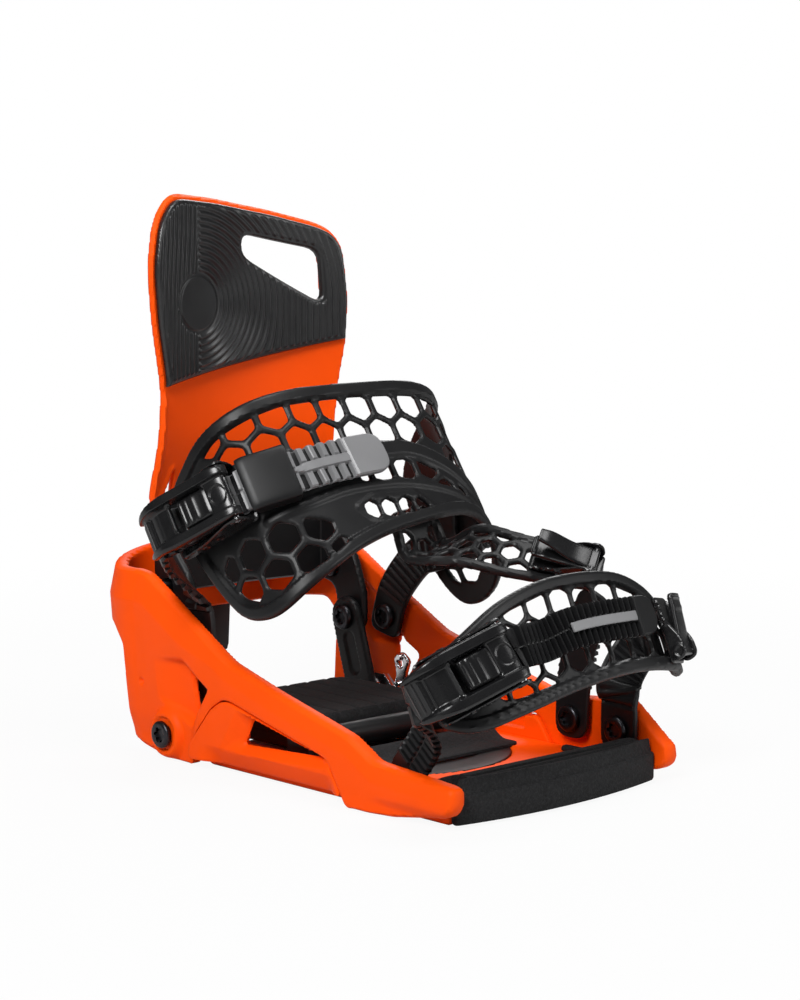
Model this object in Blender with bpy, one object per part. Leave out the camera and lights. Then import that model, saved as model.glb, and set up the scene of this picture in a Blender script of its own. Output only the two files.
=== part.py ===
"""Rear-entry snowboard binding: hoop frame, reclining highback, heel pedal linkage and two ratchet straps.

Frame: metres, +Z up, toe towards -Y, heel towards +Y, buckle side towards -X.
The origin is the centre of the mounting disc on the plane of the board.
"""
import math

import bmesh
import bpy
import numpy as np
from mathutils import Vector
from mathutils.geometry import delaunay_2d_cdt

MM = 0.001
GAP = 0.3 * MM
RUNNING_GAP = 0.4 * MM
WELD = 0.002 * MM
ROUND_SIDES = 14
DISC_SIDES = 32

# Hoop frame: a U in plan, seen unrolled from the side
HALF_WIDTH = 70 * MM
RAIL_WALL = 9 * MM
HEEL_Y = 140 * MM
HEEL_CORNER_RADIUS = 35 * MM
TOE_END_Y = -104 * MM
TOWER_HEIGHT = 34 * MM
NEAR_TOWER_HEIGHT = 21.5 * MM
NEAR_TOWER_Y = -57 * MM
TOE_END_HEIGHT = 17 * MM
TOWER_FRONT_Y = -81.5 * MM
TOWER_REAR_Y = -41 * MM
RAIL_WAIST_HEIGHT = 30 * MM
SEAM_PEAK_HEIGHT = 34 * MM
SEAM_REAR_Y = 66 * MM
HOOP_REAR_HEIGHT = 92 * MM
HOOP_SIDE_HEIGHT = 84 * MM
HEEL_CHAMFER_HEIGHT = 5 * MM
HEEL_OPENING_TOP = 58 * MM
HEEL_OPENING_SET = 12 * MM
TOE_CHAMFER_HEIGHT = 5.5 * MM
PANEL_LIFT = 4 * MM
PANEL_SKIN = 4.5 * MM
HEEL_FLARE = 3.5 * MM
HEEL_FLARE_HEIGHT = 55 * MM
HOOP_SCREW_Y = 83 * MM
HOOP_SCREW_Z = 12 * MM
HOOP_SCREW_RADIUS = 3 * MM
HOOP_SCREW_HEAD_RADIUS = 6.2 * MM
HOOP_SCREW_HEAD = 2.2 * MM

# Base plate, disc and foot supports
FLOOR_THICKNESS = 8 * MM
FLOOR_FRONT_Y = -94 * MM
FLOOR_REAR_Y = 62 * MM
DISC_RADIUS = 46 * MM
DISC_FLANGE_RADIUS = 50 * MM
DISC_LIP = 4 * MM
DISC_SCREW_PITCH = 40 * MM
DISC_SCREW_RADIUS = 3 * MM
DISC_SCREW_HEAD_RADIUS = 5.5 * MM
DISC_SCREW_HEAD = 3 * MM
FOOTBED_HALF_WIDTH = HALF_WIDTH - 22.5 * MM
FOOTBED_FRONT_Y = -30 * MM
FOOTBED_REAR_Y = -8 * MM
FOOTBED_HEIGHT = 15 * MM
BUMPER_HEIGHT = 20 * MM
BUMPER_DEPTH = 11 * MM
BUMPER_ARM = 4.5 * MM
BUMPER_ARM_INSET = 7.8 * MM
BUMPER_ARM_REAR_Y = -53 * MM
BUMPER_BOW = 7 * MM
BUMPER_GROUND_GAP = 0.8 * MM

# Highback, cradle and link arms
PIVOT_Y = 101 * MM
PIVOT_Z = 76 * MM
PIVOT_BOLT_RADIUS = 3.2 * MM
PIVOT_HEAD_RADIUS = 4.6 * MM
PIVOT_HEAD = 2.5 * MM
HIGHBACK_THICKNESS = 4 * MM
HIGHBACK_HALF_WIDTH = 60 * MM
HIGHBACK_FOOT_HALF_WIDTH = 54 * MM
HIGHBACK_TOP_NEAR = 257 * MM
HIGHBACK_TOP_FAR = 244 * MM
HIGHBACK_FOOT_Z = 96 * MM
HIGHBACK_FLARE_Z = 150 * MM
HIGHBACK_EDGE_Y = 101.5 * MM
HIGHBACK_FOOT_EDGE_Y = 112 * MM
HIGHBACK_BOW = 13 * MM
HIGHBACK_FOOT_BOW = 6 * MM
PAD_THICKNESS = 4 * MM
PAD_MARGIN = 2.5 * MM
PAD_HOLE_MARGIN = 1.5 * MM
PAD_FOOT_NEAR = 165 * MM
PAD_FOOT_FAR = 187 * MM
CRADLE_THICKNESS = 4 * MM
CRADLE_HALF_WIDTH = HALF_WIDTH - 17 * MM
CRADLE_CORNER_RADIUS = 5 * MM
CRADLE_TOP_Z = 100 * MM
CRADLE_FOOT_Z = 73 * MM
LINK_BOLT_Y = 87 * MM
LINK_BOLT_Z = 53 * MM
LINK_BOLT_RADIUS = 3.2 * MM
LINK_HEAD_RADIUS = 6 * MM
LINK_HEAD = 2.5 * MM
LINK_PIN_Y = 76 * MM
LINK_PIN_RADIUS = 2.2 * MM
LINK_EYE_RADIUS = 4.8 * MM
LINK_HALF_WIDTH = 8.6 * MM
LINK_THICKNESS = 4 * MM
LINK_SIDE_GAP = 0.8 * MM

# Heel pedal
PEDAL_AXIS_Y = 4 * MM
PEDAL_AXIS_Z = 18 * MM
PEDAL_AXLE_RADIUS = 2.5 * MM
PEDAL_HALF_WIDTH = HALF_WIDTH - 29 * MM
PEDAL_REAR_Y = 82 * MM
PEDAL_THICKNESS = 5 * MM
PEDAL_PAD_HALF_WIDTH = PEDAL_HALF_WIDTH - 5 * MM
PEDAL_PAD_THICKNESS = 6 * MM
PEDAL_KNUCKLE_RADIUS = 5.5 * MM
PEDAL_EAR_WIDTH = 6 * MM
PEDAL_EAR_REACH = 7 * MM

# Latch and release lever
LATCH_AXIS_Y = 57 * MM
LATCH_AXIS_Z = 13 * MM
LATCH_PIN_RADIUS = 2.2 * MM
LATCH_THICKNESS = 3.2 * MM
LATCH_LIFT = 2 * MM
LATCH_NOSE = 4.5 * MM
LATCH_HUB_RADIUS = 4.2 * MM
SPRING_RADIUS = 3.6 * MM
SPRING_WIRE_RADIUS = 0.6 * MM
SPRING_TURNS = 2
SPRING_PITCH = 1.7 * MM
RELEASE_AXIS_Z = 66 * MM
RELEASE_AXIS_REACH = 5 * MM
RELEASE_PIN_RADIUS = 2 * MM
RELEASE_HALF_WIDTH = 17 * MM
RELEASE_LENGTH = 30 * MM
RELEASE_THICKNESS = 3.6 * MM
RELEASE_LUG_WIDTH = 4 * MM
RELEASE_LUG_RADIUS = 4.5 * MM

# Straps: two arches over the boot, each given by its top, its tilt and its half-width and height
STRAP_THICKNESS = 3 * MM
STRAP_RIM = 4.5 * MM
ANKLE_COMB_PITCH = 16 * MM
TOE_COMB_PITCH = 14 * MM
ARM_COMB_PITCH = 11 * MM
COMB_STRUT = 2.8 * MM
FINE_COMB_PITCH = 10.5 * MM
FINE_COMB_STRUT = 2 * MM
OPENING_SIDE = 0.6 * MM
OPENING_AREA = 16 * MM * MM
ANKLE_TOP = (0, 17.5 * MM, 138.5 * MM)
ANKLE_TILT = 33.5
ANKLE_HALF_WIDTH = HALF_WIDTH - 2 * MM
ANKLE_ARCH_HEIGHT = 55 * MM
ANKLE_ARCH_POWER = 4.0
TOE_TOP = (6 * MM, -100 * MM, 69 * MM)
TOE_TILT = 23.9
TOE_HALF_WIDTH = HALF_WIDTH + 2 * MM
TOE_ARCH_HEIGHT = 25 * MM
TOE_ARCH_POWER = 3.0
LADDER_HALF_WIDTH = 9.6 * MM
LADDER_THICKNESS = 2.6 * MM
LADDER_TOOTH = 1.3 * MM
LADDER_LIFT = 7 * MM
ANCHOR_STRAP_THICKNESS = 3 * MM
ANCHOR_STRAP_HALF_WIDTH = 10 * MM
ANCHOR_INSET = 3.5 * MM
ANCHOR_DEPTH = 5 * MM
ANCHOR_BOLT_RADIUS = 3 * MM
ANCHOR_HEAD_RADIUS = 6 * MM
ANCHOR_HEAD = 2.4 * MM
ANKLE_ANCHOR = (70 * MM, 54 * MM)
TOE_ANCHOR_NEAR = (-64 * MM, 16 * MM)
TOE_LADDER_FOOT = 5.5 * MM
TOE_ANCHOR_FAR = (-80 * MM, 21 * MM)
FRONT_ANCHOR = (-52 * MM, 22 * MM)

# Ratchet buckles and adjusters
BUCKLE_LENGTH = 40 * MM
BUCKLE_HALF_WIDTH = 14.6 * MM
BUCKLE_WALL = 1.6 * MM
BUCKLE_LADDER_HEIGHT = 3.5 * MM
BUCKLE_PIN_RADIUS = 1.6 * MM
BUCKLE_PIN_SET = 15 * MM
BUCKLE_PIN_HEIGHT = 12 * MM
BUCKLE_HUB_RADIUS = 3.9 * MM
LEVER_TAIL = 32 * MM
LEVER_RAIL = 5 * MM
LEVER_PLAY = 0.5 * MM
LEVER_WINDOW_END = 11 * MM
TRIGGER_LENGTH = 22 * MM
ANKLE_BUCKLE = (-69 * MM, -32.8 * MM, 5 * MM)
ANKLE_BUCKLE_LEAN = 65.7
TOE_BUCKLE = (-60 * MM, -6.3 * MM, 6 * MM)
TOE_BUCKLE_LEAN = 25.0
TOE_BUCKLE_SKEW = 13.0
BUCKLE_SHARES = (-1.35, -0.95, -0.5, 0, 0.5, 0.95, 1.25)
ARM_DROP = 8 * MM
ARM_TWIST = (0.64, 0.42, 0.64)
ARM_BOSS = (13 * MM, 29 * MM)
ARM_BOSS_RADIUS = 4 * MM
KEEPER_SET = 2.5 * MM
KEEPER_LENGTH = 20 * MM
KEEPER_ROOM = 1.2 * MM
KEEPER_WALL = 1.8 * MM
KEEPER_FLOOR = 0.9 * MM
CLAMP_HALF_WIDTH = 8.5 * MM
CLAMP_PIN_RADIUS = 1.5 * MM
CLAMP_PIN_HEIGHT = 5.5 * MM
CLAMP_LEVER = 3 * MM
ANKLE_CLAMP_LENGTH = 40 * MM
TOE_CLAMP_LENGTH = 30 * MM
CLAW_LENGTH = 32 * MM

ORANGE = (0.95, 0.12, 0.012)
BLACK = (0.018, 0.018, 0.020)
FOAM = (0.012, 0.012, 0.013)
GREY = (0.20, 0.20, 0.21)
STEEL = (0.55, 0.55, 0.56)


def clear_scene():
    for item in list(bpy.data.objects):
        bpy.data.objects.remove(item, do_unlink=True)


def material(name, colour, roughness, metallic=0.0):
    made = bpy.data.materials.new(name)
    made.use_nodes = True
    shader = made.node_tree.nodes["Principled BSDF"]
    shader.inputs["Base Color"].default_value = (*colour, 1.0)
    shader.inputs["Roughness"].default_value = roughness
    shader.inputs["Metallic"].default_value = metallic
    return made


MATERIALS = {}


def finish(name):
    """Materials by finish, made once."""
    if not MATERIALS:
        MATERIALS["orange"] = material("orange_plastic", ORANGE, 0.42)
        MATERIALS["black"] = material("black_plastic", BLACK, 0.38)
        MATERIALS["foam"] = material("black_foam", FOAM, 0.8)
        MATERIALS["grey"] = material("grey_plastic", GREY, 0.45)
        MATERIALS["steel"] = material("bright_steel", STEEL, 0.25, 1.0)
    return MATERIALS[name]


def make_object(name, verts, faces, look, origin=(0, 0, 0)):
    """One named object whose origin is given in world space, with normals made to point out."""
    origin = Vector(origin)
    mesh = bpy.data.meshes.new(name)
    mesh.from_pydata([Vector(v) - origin for v in verts], [], faces)
    shell = bmesh.new()
    shell.from_mesh(mesh)
    bmesh.ops.remove_doubles(shell, verts=shell.verts, dist=WELD)
    bmesh.ops.recalc_face_normals(shell, faces=shell.faces)
    shell.to_mesh(mesh)
    shell.free()
    mesh.materials.append(finish(look))
    item = bpy.data.objects.new(name, mesh)
    item.location = origin
    bpy.context.scene.collection.objects.link(item)
    return item


def boolean(item, tool, operation):
    """Applies a Boolean at once, so that the tool can be removed."""
    step = item.modifiers.new("cut", "BOOLEAN")
    step.operation = operation
    step.solver = "EXACT"
    step.object = tool
    bpy.context.view_layer.update()
    graph = bpy.context.evaluated_depsgraph_get()
    result = bpy.data.meshes.new_from_object(item.evaluated_get(graph))
    item.modifiers.remove(step)
    shell = bmesh.new()
    shell.from_mesh(result)
    bmesh.ops.remove_doubles(shell, verts=shell.verts, dist=WELD)
    bmesh.ops.dissolve_degenerate(shell, edges=shell.edges, dist=WELD)
    shell.to_mesh(result)
    shell.free()
    item.data = result
    bpy.data.objects.remove(tool, do_unlink=True)


def dense(loop, step):
    """A closed loop with every edge split to at most one step."""
    result = []
    count = len(loop)
    for index, start in enumerate(loop):
        end = loop[(index + 1) % count]
        length = math.dist(start, end)
        parts = max(1, math.ceil(length / step - 1e-9))
        for part in range(parts):
            share = part / parts
            result.append((start[0] + (end[0] - start[0]) * share, start[1] + (end[1] - start[1]) * share))
    return result


def rounded(corners, radius, steps=3):
    """A closed loop with each corner turned into a quadratic curve of about the given reach."""
    result = []
    count = len(corners)
    for index, corner in enumerate(corners):
        before = Vector(corners[index - 1])
        after = Vector(corners[(index + 1) % count])
        here = Vector(corner)
        reach_in = min(radius, (before - here).length * 0.45)
        reach_out = min(radius, (after - here).length * 0.45)
        start = here + (before - here).normalized() * reach_in
        end = here + (after - here).normalized() * reach_out
        for step in range(steps + 1):
            share = step / steps
            point = start * (1 - share) ** 2 + here * (2 * share * (1 - share)) + end * share ** 2
            result.append((point.x, point.y))
    return result


def circle(centre, radius, sides=ROUND_SIDES):
    turns = [2 * math.pi * side / sides for side in range(sides)]
    return [(centre[0] + radius * math.cos(turn), centre[1] + radius * math.sin(turn)) for turn in turns]


def inside(points, loop):
    """Even-odd test of many points against one closed loop."""
    x, y = points[:, 0], points[:, 1]
    ring = np.array(loop)
    x0, y0 = ring[:, 0], ring[:, 1]
    x1, y1 = np.roll(x0, -1), np.roll(y0, -1)
    crosses = (y0[None, :] > y[:, None]) != (y1[None, :] > y[:, None])
    rise = np.where(y1 == y0, 1.0, y1 - y0)
    meets = x0[None, :] + (y[:, None] - y0[None, :]) * ((x1 - x0) / rise)[None, :]
    return (np.sum(crosses & (x[:, None] < meets), axis=1) % 2) == 1


def edge_distance(points, loop):
    """Least distance of many points from one closed loop."""
    ring = np.array(loop)
    along = np.roll(ring, -1, axis=0) - ring
    offset = points[:, None, :] - ring[None, :, :]
    length = np.maximum(np.sum(along * along, axis=1), 1e-18)
    share = np.clip(np.sum(offset * along[None], axis=2) / length[None], 0.0, 1.0)
    nearest = offset - share[:, :, None] * along[None]
    return np.sqrt(np.min(np.sum(nearest * nearest, axis=2), axis=1))


def plate(outline, holes, place, low, high, spacing):
    """Vertices and faces of a closed plate.

    A flat outline with holes is triangulated, and place(u, v, e) carries it to space at depths low and high.
    """
    loops = [dense(outline, spacing)] + [dense(hole, spacing) for hole in holes]
    points = [point for loop in loops for point in loop]
    edges = []
    start = 0
    for loop in loops:
        count = len(loop)
        edges += [(start + index, start + (index + 1) % count) for index in range(count)]
        start += count
    ring = np.array(loops[0])
    u_values = np.arange(ring[:, 0].min() + spacing / 2, ring[:, 0].max(), spacing)
    v_values = np.arange(ring[:, 1].min() + spacing / 2, ring[:, 1].max(), spacing)
    grid = np.array([(u, v) for u in u_values for v in v_values])
    if len(grid):
        keep = inside(grid, loops[0])
        for loop in loops:
            keep &= edge_distance(grid, loop) > spacing * 0.45
        for loop in loops[1:]:
            keep &= ~inside(grid, loop)
        points += [tuple(point) for point in grid[keep]]
    found = delaunay_2d_cdt([Vector(point) for point in points], edges, [], 0, 1e-9)
    flat = np.array([(point.x, point.y) for point in found[0]])
    triangles = np.array([tuple(face) for face in found[2]])
    centres = flat[triangles].mean(axis=1)
    keep = inside(centres, loops[0])
    for loop in loops[1:]:
        keep &= ~inside(centres, loop)
    triangles = triangles[keep]
    used = sorted(set(triangles.ravel().tolist()))
    order = {old: new for new, old in enumerate(used)}
    count = len(used)
    verts = [place(*flat[old], low) for old in used] + [place(*flat[old], high) for old in used]
    faces = []
    seen = {}
    for triangle in triangles.tolist():
        first, second, third = (order[index] for index in triangle)
        faces.append((third, second, first))
        faces.append((first + count, second + count, third + count))
        for pair in ((first, second), (second, third), (third, first)):
            seen[pair] = True
    for first, second in seen:
        if (second, first) not in seen:
            faces.append((first, second, second + count, first + count))
    return verts, faces


def flat_place(origin, across, up, normal):
    """A place function for plates that lie in a plane."""
    origin, across, up, normal = (Vector(item) for item in (origin, across, up, normal))

    def place(u, v, e):
        return origin + across * u + up * v + normal * e

    return place


SIDE_VIEW = flat_place((0, 0, 0), (0, 1, 0), (0, 0, 1), (1, 0, 0))
PLAN_VIEW = flat_place((0, 0, 0), (1, 0, 0), (0, 1, 0), (0, 0, 1))


def turned(profile, base, axis, sides=ROUND_SIDES):
    """Vertices and faces of a solid turned about an axis; the profile is (radius, height) from end to end."""
    axis = Vector(axis).normalized()
    side = axis.orthogonal().normalized()
    front = axis.cross(side)
    base = Vector(base)
    verts = []
    rows = []
    for radius, height in profile:
        if radius == 0:
            rows.append([len(verts)])
            verts.append(base + axis * height)
            continue
        row = []
        for step in range(sides):
            turn = 2 * math.pi * step / sides
            row.append(len(verts))
            verts.append(base + axis * height + (side * math.cos(turn) + front * math.sin(turn)) * radius)
        rows.append(row)
    faces = []
    for lower, upper in zip(rows, rows[1:]):
        for step in range(sides):
            following = (step + 1) % sides
            if len(lower) == 1:
                faces.append((lower[0], upper[following], upper[step]))
            elif len(upper) == 1:
                faces.append((lower[step], lower[following], upper[0]))
            else:
                faces.append((lower[step], lower[following], upper[following], upper[step]))
    return verts, faces


def rod(base, axis, radius, length, sides=ROUND_SIDES):
    return turned([(0, 0), (radius, 0), (radius, length), (0, length)], base, axis, sides)


def bolt(base, axis, radius, length, head_radius, head):
    """A bolt whose shank starts at its base and ends under a round head."""
    profile = [(0, 0), (radius, 0), (radius, length), (head_radius, length)]
    profile += [(head_radius, length + head * 0.7), (head_radius * 0.82, length + head), (0, length + head)]
    return turned(profile, base, axis)


def ribbon(stations):
    """A solid swept through stations of (centre, across, normal, half_width, low, high)."""
    verts = []
    for centre, across, normal, half_width, low, high in stations:
        for side, depth in ((-1, low), (1, low), (1, high), (-1, high)):
            verts.append(centre + across * (side * half_width) + normal * depth)
    faces = [(0, 1, 2, 3)]
    for station in range(len(stations) - 1):
        start = station * 4
        for corner in range(4):
            following = (corner + 1) % 4
            faces.append((start + corner, start + 4 + corner, start + 4 + following, start + following))
    last = (len(stations) - 1) * 4
    faces.append((last + 3, last + 2, last + 1, last))
    return verts, faces


def box(low, high):
    place = flat_place((0, 0, 0), (1, 0, 0), (0, 1, 0), (0, 0, 1))
    outline = [(low[0], low[1]), (high[0], low[1]), (high[0], high[1]), (low[0], high[1])]
    return plate(outline, [], place, low[2], high[2], 1.0)


def tool(verts, faces):
    item = make_object("tool", verts, faces, "black")
    item.hide_render = True
    item.display_type = "WIRE"
    return item


def smooth_path(points, count):
    """Points read from a Catmull-Rom curve through the given ones."""
    points = [Vector(point) for point in points]
    padded = [points[0] * 2 - points[1]] + points + [points[-1] * 2 - points[-2]]
    spans = len(points) - 1
    result = []
    for index in range(count):
        at = min(index / (count - 1) * spans, spans - 1e-9)
        span = int(at)
        t = at - span
        p0, p1, p2, p3 = padded[span:span + 4]
        result.append(0.5 * ((2 * p1) + (p2 - p0) * t + (2 * p0 - 5 * p1 + 4 * p2 - p3) * t * t
                             + (3 * p1 - p0 - 3 * p2 + p3) * t ** 3))
    return result


def inset(loop, amount):
    """A counterclockwise loop moved inward by an amount, corner by corner."""
    result = []
    count = len(loop)
    for index, corner in enumerate(loop):
        here = Vector(corner)
        before = (here - Vector(loop[index - 1])).normalized()
        after = (Vector(loop[(index + 1) % count]) - here).normalized()
        normal_in = Vector((-before.y, before.x))
        normal_out = Vector((-after.y, after.x))
        bisector = (normal_in + normal_out).normalized()
        reach = amount / max(bisector.dot(normal_in), 0.35)
        point = here + bisector * reach
        result.append((point.x, point.y))
    return result


def pocket(item, base, axis, radius, length):
    """Cuts a round hole or blind pocket with running clearance."""
    boolean(item, tool(*rod(base, axis, radius + RUNNING_GAP, length)), "DIFFERENCE")


def smooth_step(value):
    value = min(max(value, 0.0), 1.0)
    return value * value * (3 - 2 * value)


# Hoop frame

CORNER_START = HALF_WIDTH - HEEL_CORNER_RADIUS
CORNER_END = CORNER_START + math.pi / 2 * HEEL_CORNER_RADIUS
SIDE_START_Y = HEEL_Y - HEEL_CORNER_RADIUS
INNER_HALF = HALF_WIDTH - RAIL_WALL


def along_side(y):
    """Length along the frame's plan, from the middle of the heel, to a place on the straight side."""
    return CORNER_END + SIDE_START_Y - y


def frame_place(u, v, e):
    """The frame's outer face at plan length u and height v, moved inward by e."""
    side = math.copysign(1.0, u)
    length = abs(u)
    if length <= CORNER_START:
        return Vector((side * length, HEEL_Y - e, v))
    if length >= CORNER_END:
        return Vector((side * (HALF_WIDTH - e), SIDE_START_Y - (length - CORNER_END), v))
    turn = (length - CORNER_START) / HEEL_CORNER_RADIUS
    reach = HEEL_CORNER_RADIUS - e + HEEL_FLARE * math.sin(2 * turn) * smooth_step(v / HEEL_FLARE_HEIGHT)
    return Vector((side * (CORNER_START + reach * math.sin(turn)), SIDE_START_Y + reach * math.cos(turn), v))


def seam_points():
    """The seam between frame and base plate in side view, from the toe's foot over the peak to the heel's."""
    peak = SEAM_PEAK_HEIGHT
    toe = TOWER_REAR_Y
    heel = SEAM_REAR_Y
    return [(toe, 0), (toe + 10 * MM, peak * 0.46), (toe + 13 * MM, peak * 0.56), (heel - 31 * MM, peak),
            (heel - 25 * MM, peak), (heel - 17 * MM, peak * 0.85), (heel - MM, peak * 0.31), (heel, 0)]


def half_frame_outline(tower):
    """One side of the frame: along the top from the middle of the heel to the toe, and back below."""
    corner = CORNER_END - CORNER_START
    top = [(CORNER_START, HOOP_REAR_HEIGHT), (CORNER_START + corner * 0.3, HOOP_REAR_HEIGHT - 3 * MM)]
    top += [(CORNER_START + corner * 0.65, HOOP_SIDE_HEIGHT + MM), (CORNER_END, HOOP_SIDE_HEIGHT + MM)]
    side = [(98, 1.0), (78, 0.865), (61, 0.75), (50, 0.675), (38, 0.6), (8, 0.5)]
    top += [(along_side(y * MM), HOOP_SIDE_HEIGHT * share) for y, share in side]
    top += [(along_side(TOWER_REAR_Y), RAIL_WAIST_HEIGHT)]
    top += [(along_side(y), z) for y, z in tower]
    top += [(along_side(TOE_END_Y + 2.5 * MM), TOE_END_HEIGHT + 1.4 * MM)]
    top += [(along_side(TOE_END_Y), TOE_END_HEIGHT)]
    low = [(along_side(TOE_END_Y), TOE_END_HEIGHT * 0.56)]
    low += [(along_side(TOE_END_Y + 4 * MM), TOE_CHAMFER_HEIGHT)]
    low += [(along_side(TOWER_REAR_Y - 25 * MM), 0)]
    low += [(along_side(y), z) for y, z in seam_points()]
    edge = CORNER_END - HEEL_OPENING_SET
    low += [(along_side(SEAM_REAR_Y + 26 * MM), 0), (edge, HEEL_CHAMFER_HEIGHT)]
    low += [(edge + 2 * MM, HEEL_OPENING_TOP - 8 * MM), (edge - 6 * MM, HEEL_OPENING_TOP)]
    low += [(CORNER_START, HEEL_OPENING_TOP)]
    return top + low


def release_lugs(item):
    """Two lugs on the back of the hoop that hold the release lever's pin."""
    for side in (-1, 1):
        centre = (HEEL_Y + RELEASE_AXIS_REACH, RELEASE_AXIS_Z)
        round_end = [(y, z) for y, z in circle(centre, RELEASE_LUG_RADIUS) if y >= centre[0] - 1e-9]
        round_end.sort(key=lambda point: point[1])
        root = HEEL_Y - RAIL_WALL / 3
        outline = [(root, RELEASE_AXIS_Z - RELEASE_LUG_RADIUS)] + round_end
        outline += [(root, RELEASE_AXIS_Z + RELEASE_LUG_RADIUS)]
        inner = side * (RELEASE_HALF_WIDTH + RUNNING_GAP)
        outer = inner + side * RELEASE_LUG_WIDTH
        lug = plate(outline, [], SIDE_VIEW, min(inner, outer), max(inner, outer), 20 * MM)
        boolean(item, tool(*lug), "UNION")


def hoop_frame():
    far = half_frame_outline([(TOWER_FRONT_Y, TOWER_HEIGHT)])
    near = half_frame_outline([(NEAR_TOWER_Y, NEAR_TOWER_HEIGHT)])
    outline = far + [(-u, z) for u, z in reversed(near)]
    window = rounded([(SEAM_REAR_Y + 2.5 * MM, 45 * MM), (SEAM_REAR_Y - 14 * MM, 36.5 * MM),
                      (SEAM_REAR_Y - 2 * MM, 21 * MM)], 3 * MM)
    window = [(along_side(y), z) for y, z in window]
    holes = [window, [(-u, z) for u, z in window]]
    for side in (-1, 1):
        holes.append(circle((side * along_side(HOOP_SCREW_Y), HOOP_SCREW_Z), HOOP_SCREW_RADIUS + RUNNING_GAP))
    verts, faces = plate(outline, holes, frame_place, 0, RAIL_WALL, 11 * MM)
    item = make_object("hoop_frame", verts, faces, "orange")
    release_lugs(item)
    for side in (-1, 1):
        toe = TOE_ANCHOR_NEAR if side < 0 else TOE_ANCHOR_FAR
        for y, z in (ANKLE_ANCHOR, toe):
            base = (side * (INNER_HALF + ANCHOR_DEPTH), y, z)
            pocket(item, base, (-side, 0, 0), ANCHOR_BOLT_RADIUS, RAIL_WALL)
        base = (side * (INNER_HALF + ANCHOR_DEPTH), PIVOT_Y, PIVOT_Z)
        pocket(item, base, (-side, 0, 0), PIVOT_BOLT_RADIUS, RAIL_WALL)
    base = (INNER_HALF + ANCHOR_DEPTH, *FRONT_ANCHOR)
    pocket(item, base, (-1, 0, 0), ANCHOR_BOLT_RADIUS, RAIL_WALL)
    return item


def hoop_screws():
    for side, label in ((-1, "outer"), (1, "inner")):
        base = (side * (INNER_HALF + GAP), HOOP_SCREW_Y, HOOP_SCREW_Z)
        verts, faces = bolt(base, (side, 0, 0), HOOP_SCREW_RADIUS, RAIL_WALL,
                            HOOP_SCREW_HEAD_RADIUS, HOOP_SCREW_HEAD)
        make_object("hoop_screw_" + label, verts, faces, "black")


# Base plate and what lies on it

FLOOR_HALF = INNER_HALF - GAP
PEDAL_EAR_X = DISC_FLANGE_RADIUS + 2 * MM


def infill_outline():
    """The side panel of the base plate, a clearance inside the frame's seam."""
    outline = inset(list(reversed(seam_points())), GAP)
    for end, beside in ((0, 1), (-1, -2)):
        y, z = outline[end]
        share = (PANEL_LIFT - z) / (outline[beside][1] - z)
        outline[end] = (y + (outline[beside][0] - y) * share, PANEL_LIFT)
    return outline


def base_plate():
    outline = [(-FLOOR_HALF, FLOOR_FRONT_Y), (FLOOR_HALF, FLOOR_FRONT_Y)]
    outline += [(FLOOR_HALF, FLOOR_REAR_Y), (-FLOOR_HALF, FLOOR_REAR_Y)]
    hole = circle((0, 0), DISC_RADIUS + RUNNING_GAP, DISC_SIDES)
    verts, faces = plate(outline, [hole], PLAN_VIEW, 0, FLOOR_THICKNESS, 24 * MM)
    item = make_object("base_plate", verts, faces, "orange")
    flange = rod((0, 0, DISC_LIP), (0, 0, 1), DISC_FLANGE_RADIUS + RUNNING_GAP, FLOOR_THICKNESS, DISC_SIDES)
    boolean(item, tool(*flange), "DIFFERENCE")
    window = rounded([(SEAM_REAR_Y - 43 * MM, 28 * MM), (TOWER_REAR_Y + 16 * MM, 18 * MM),
                      (SEAM_REAR_Y - 37 * MM, 15 * MM)], 2 * MM)
    hollow = [(SEAM_REAR_Y - 35 * MM, 30.5 * MM), (TOWER_REAR_Y + 21 * MM, 19.5 * MM),
              (TOWER_REAR_Y + 21 * MM, 12 * MM), (SEAM_REAR_Y - 32 * MM, 12 * MM)]
    for side in (-1, 1):
        inner = side * (FLOOR_HALF - 1.5 * MM)
        outer = side * HALF_WIDTH
        panel = plate(infill_outline(), [window], SIDE_VIEW, min(inner, outer), max(inner, outer), 16 * MM)
        boolean(item, tool(*panel), "UNION")
        skin = side * (HALF_WIDTH - PANEL_SKIN)
        behind = side * (PEDAL_EAR_X + PEDAL_EAR_WIDTH)
        recess = plate(hollow, [], SIDE_VIEW, min(behind, skin), max(behind, skin), 40 * MM)
        boolean(item, tool(*recess), "DIFFERENCE")
        low = min(side * PEDAL_EAR_X, side * (PEDAL_EAR_X + PEDAL_EAR_WIDTH))
        top = PEDAL_AXIS_Z + PEDAL_KNUCKLE_RADIUS
        ear = box((low, PEDAL_AXIS_Y - PEDAL_EAR_REACH, FLOOR_THICKNESS / 2),
                  (low + PEDAL_EAR_WIDTH, PEDAL_AXIS_Y + PEDAL_EAR_REACH, top))
        boolean(item, tool(*ear), "UNION")
        low = min(side * PEDAL_EAR_X, side * HALF_WIDTH)
        high = low + HALF_WIDTH - PEDAL_EAR_X
        relief = box((low, TOWER_REAR_Y, -MM), (high, SEAM_REAR_Y, PANEL_LIFT - GAP))
        boolean(item, tool(*relief), "DIFFERENCE")
    reach = PEDAL_EAR_X + PEDAL_EAR_WIDTH / 2
    pocket(item, (-reach, PEDAL_AXIS_Y, PEDAL_AXIS_Z), (1, 0, 0), PEDAL_AXLE_RADIUS, 2 * reach)
    seat = FLOOR_HALF + ANCHOR_DEPTH
    pocket(item, (seat, LATCH_AXIS_Y, LATCH_AXIS_Z), (-1, 0, 0), LATCH_PIN_RADIUS, ANCHOR_DEPTH * 2)
    return item


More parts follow.
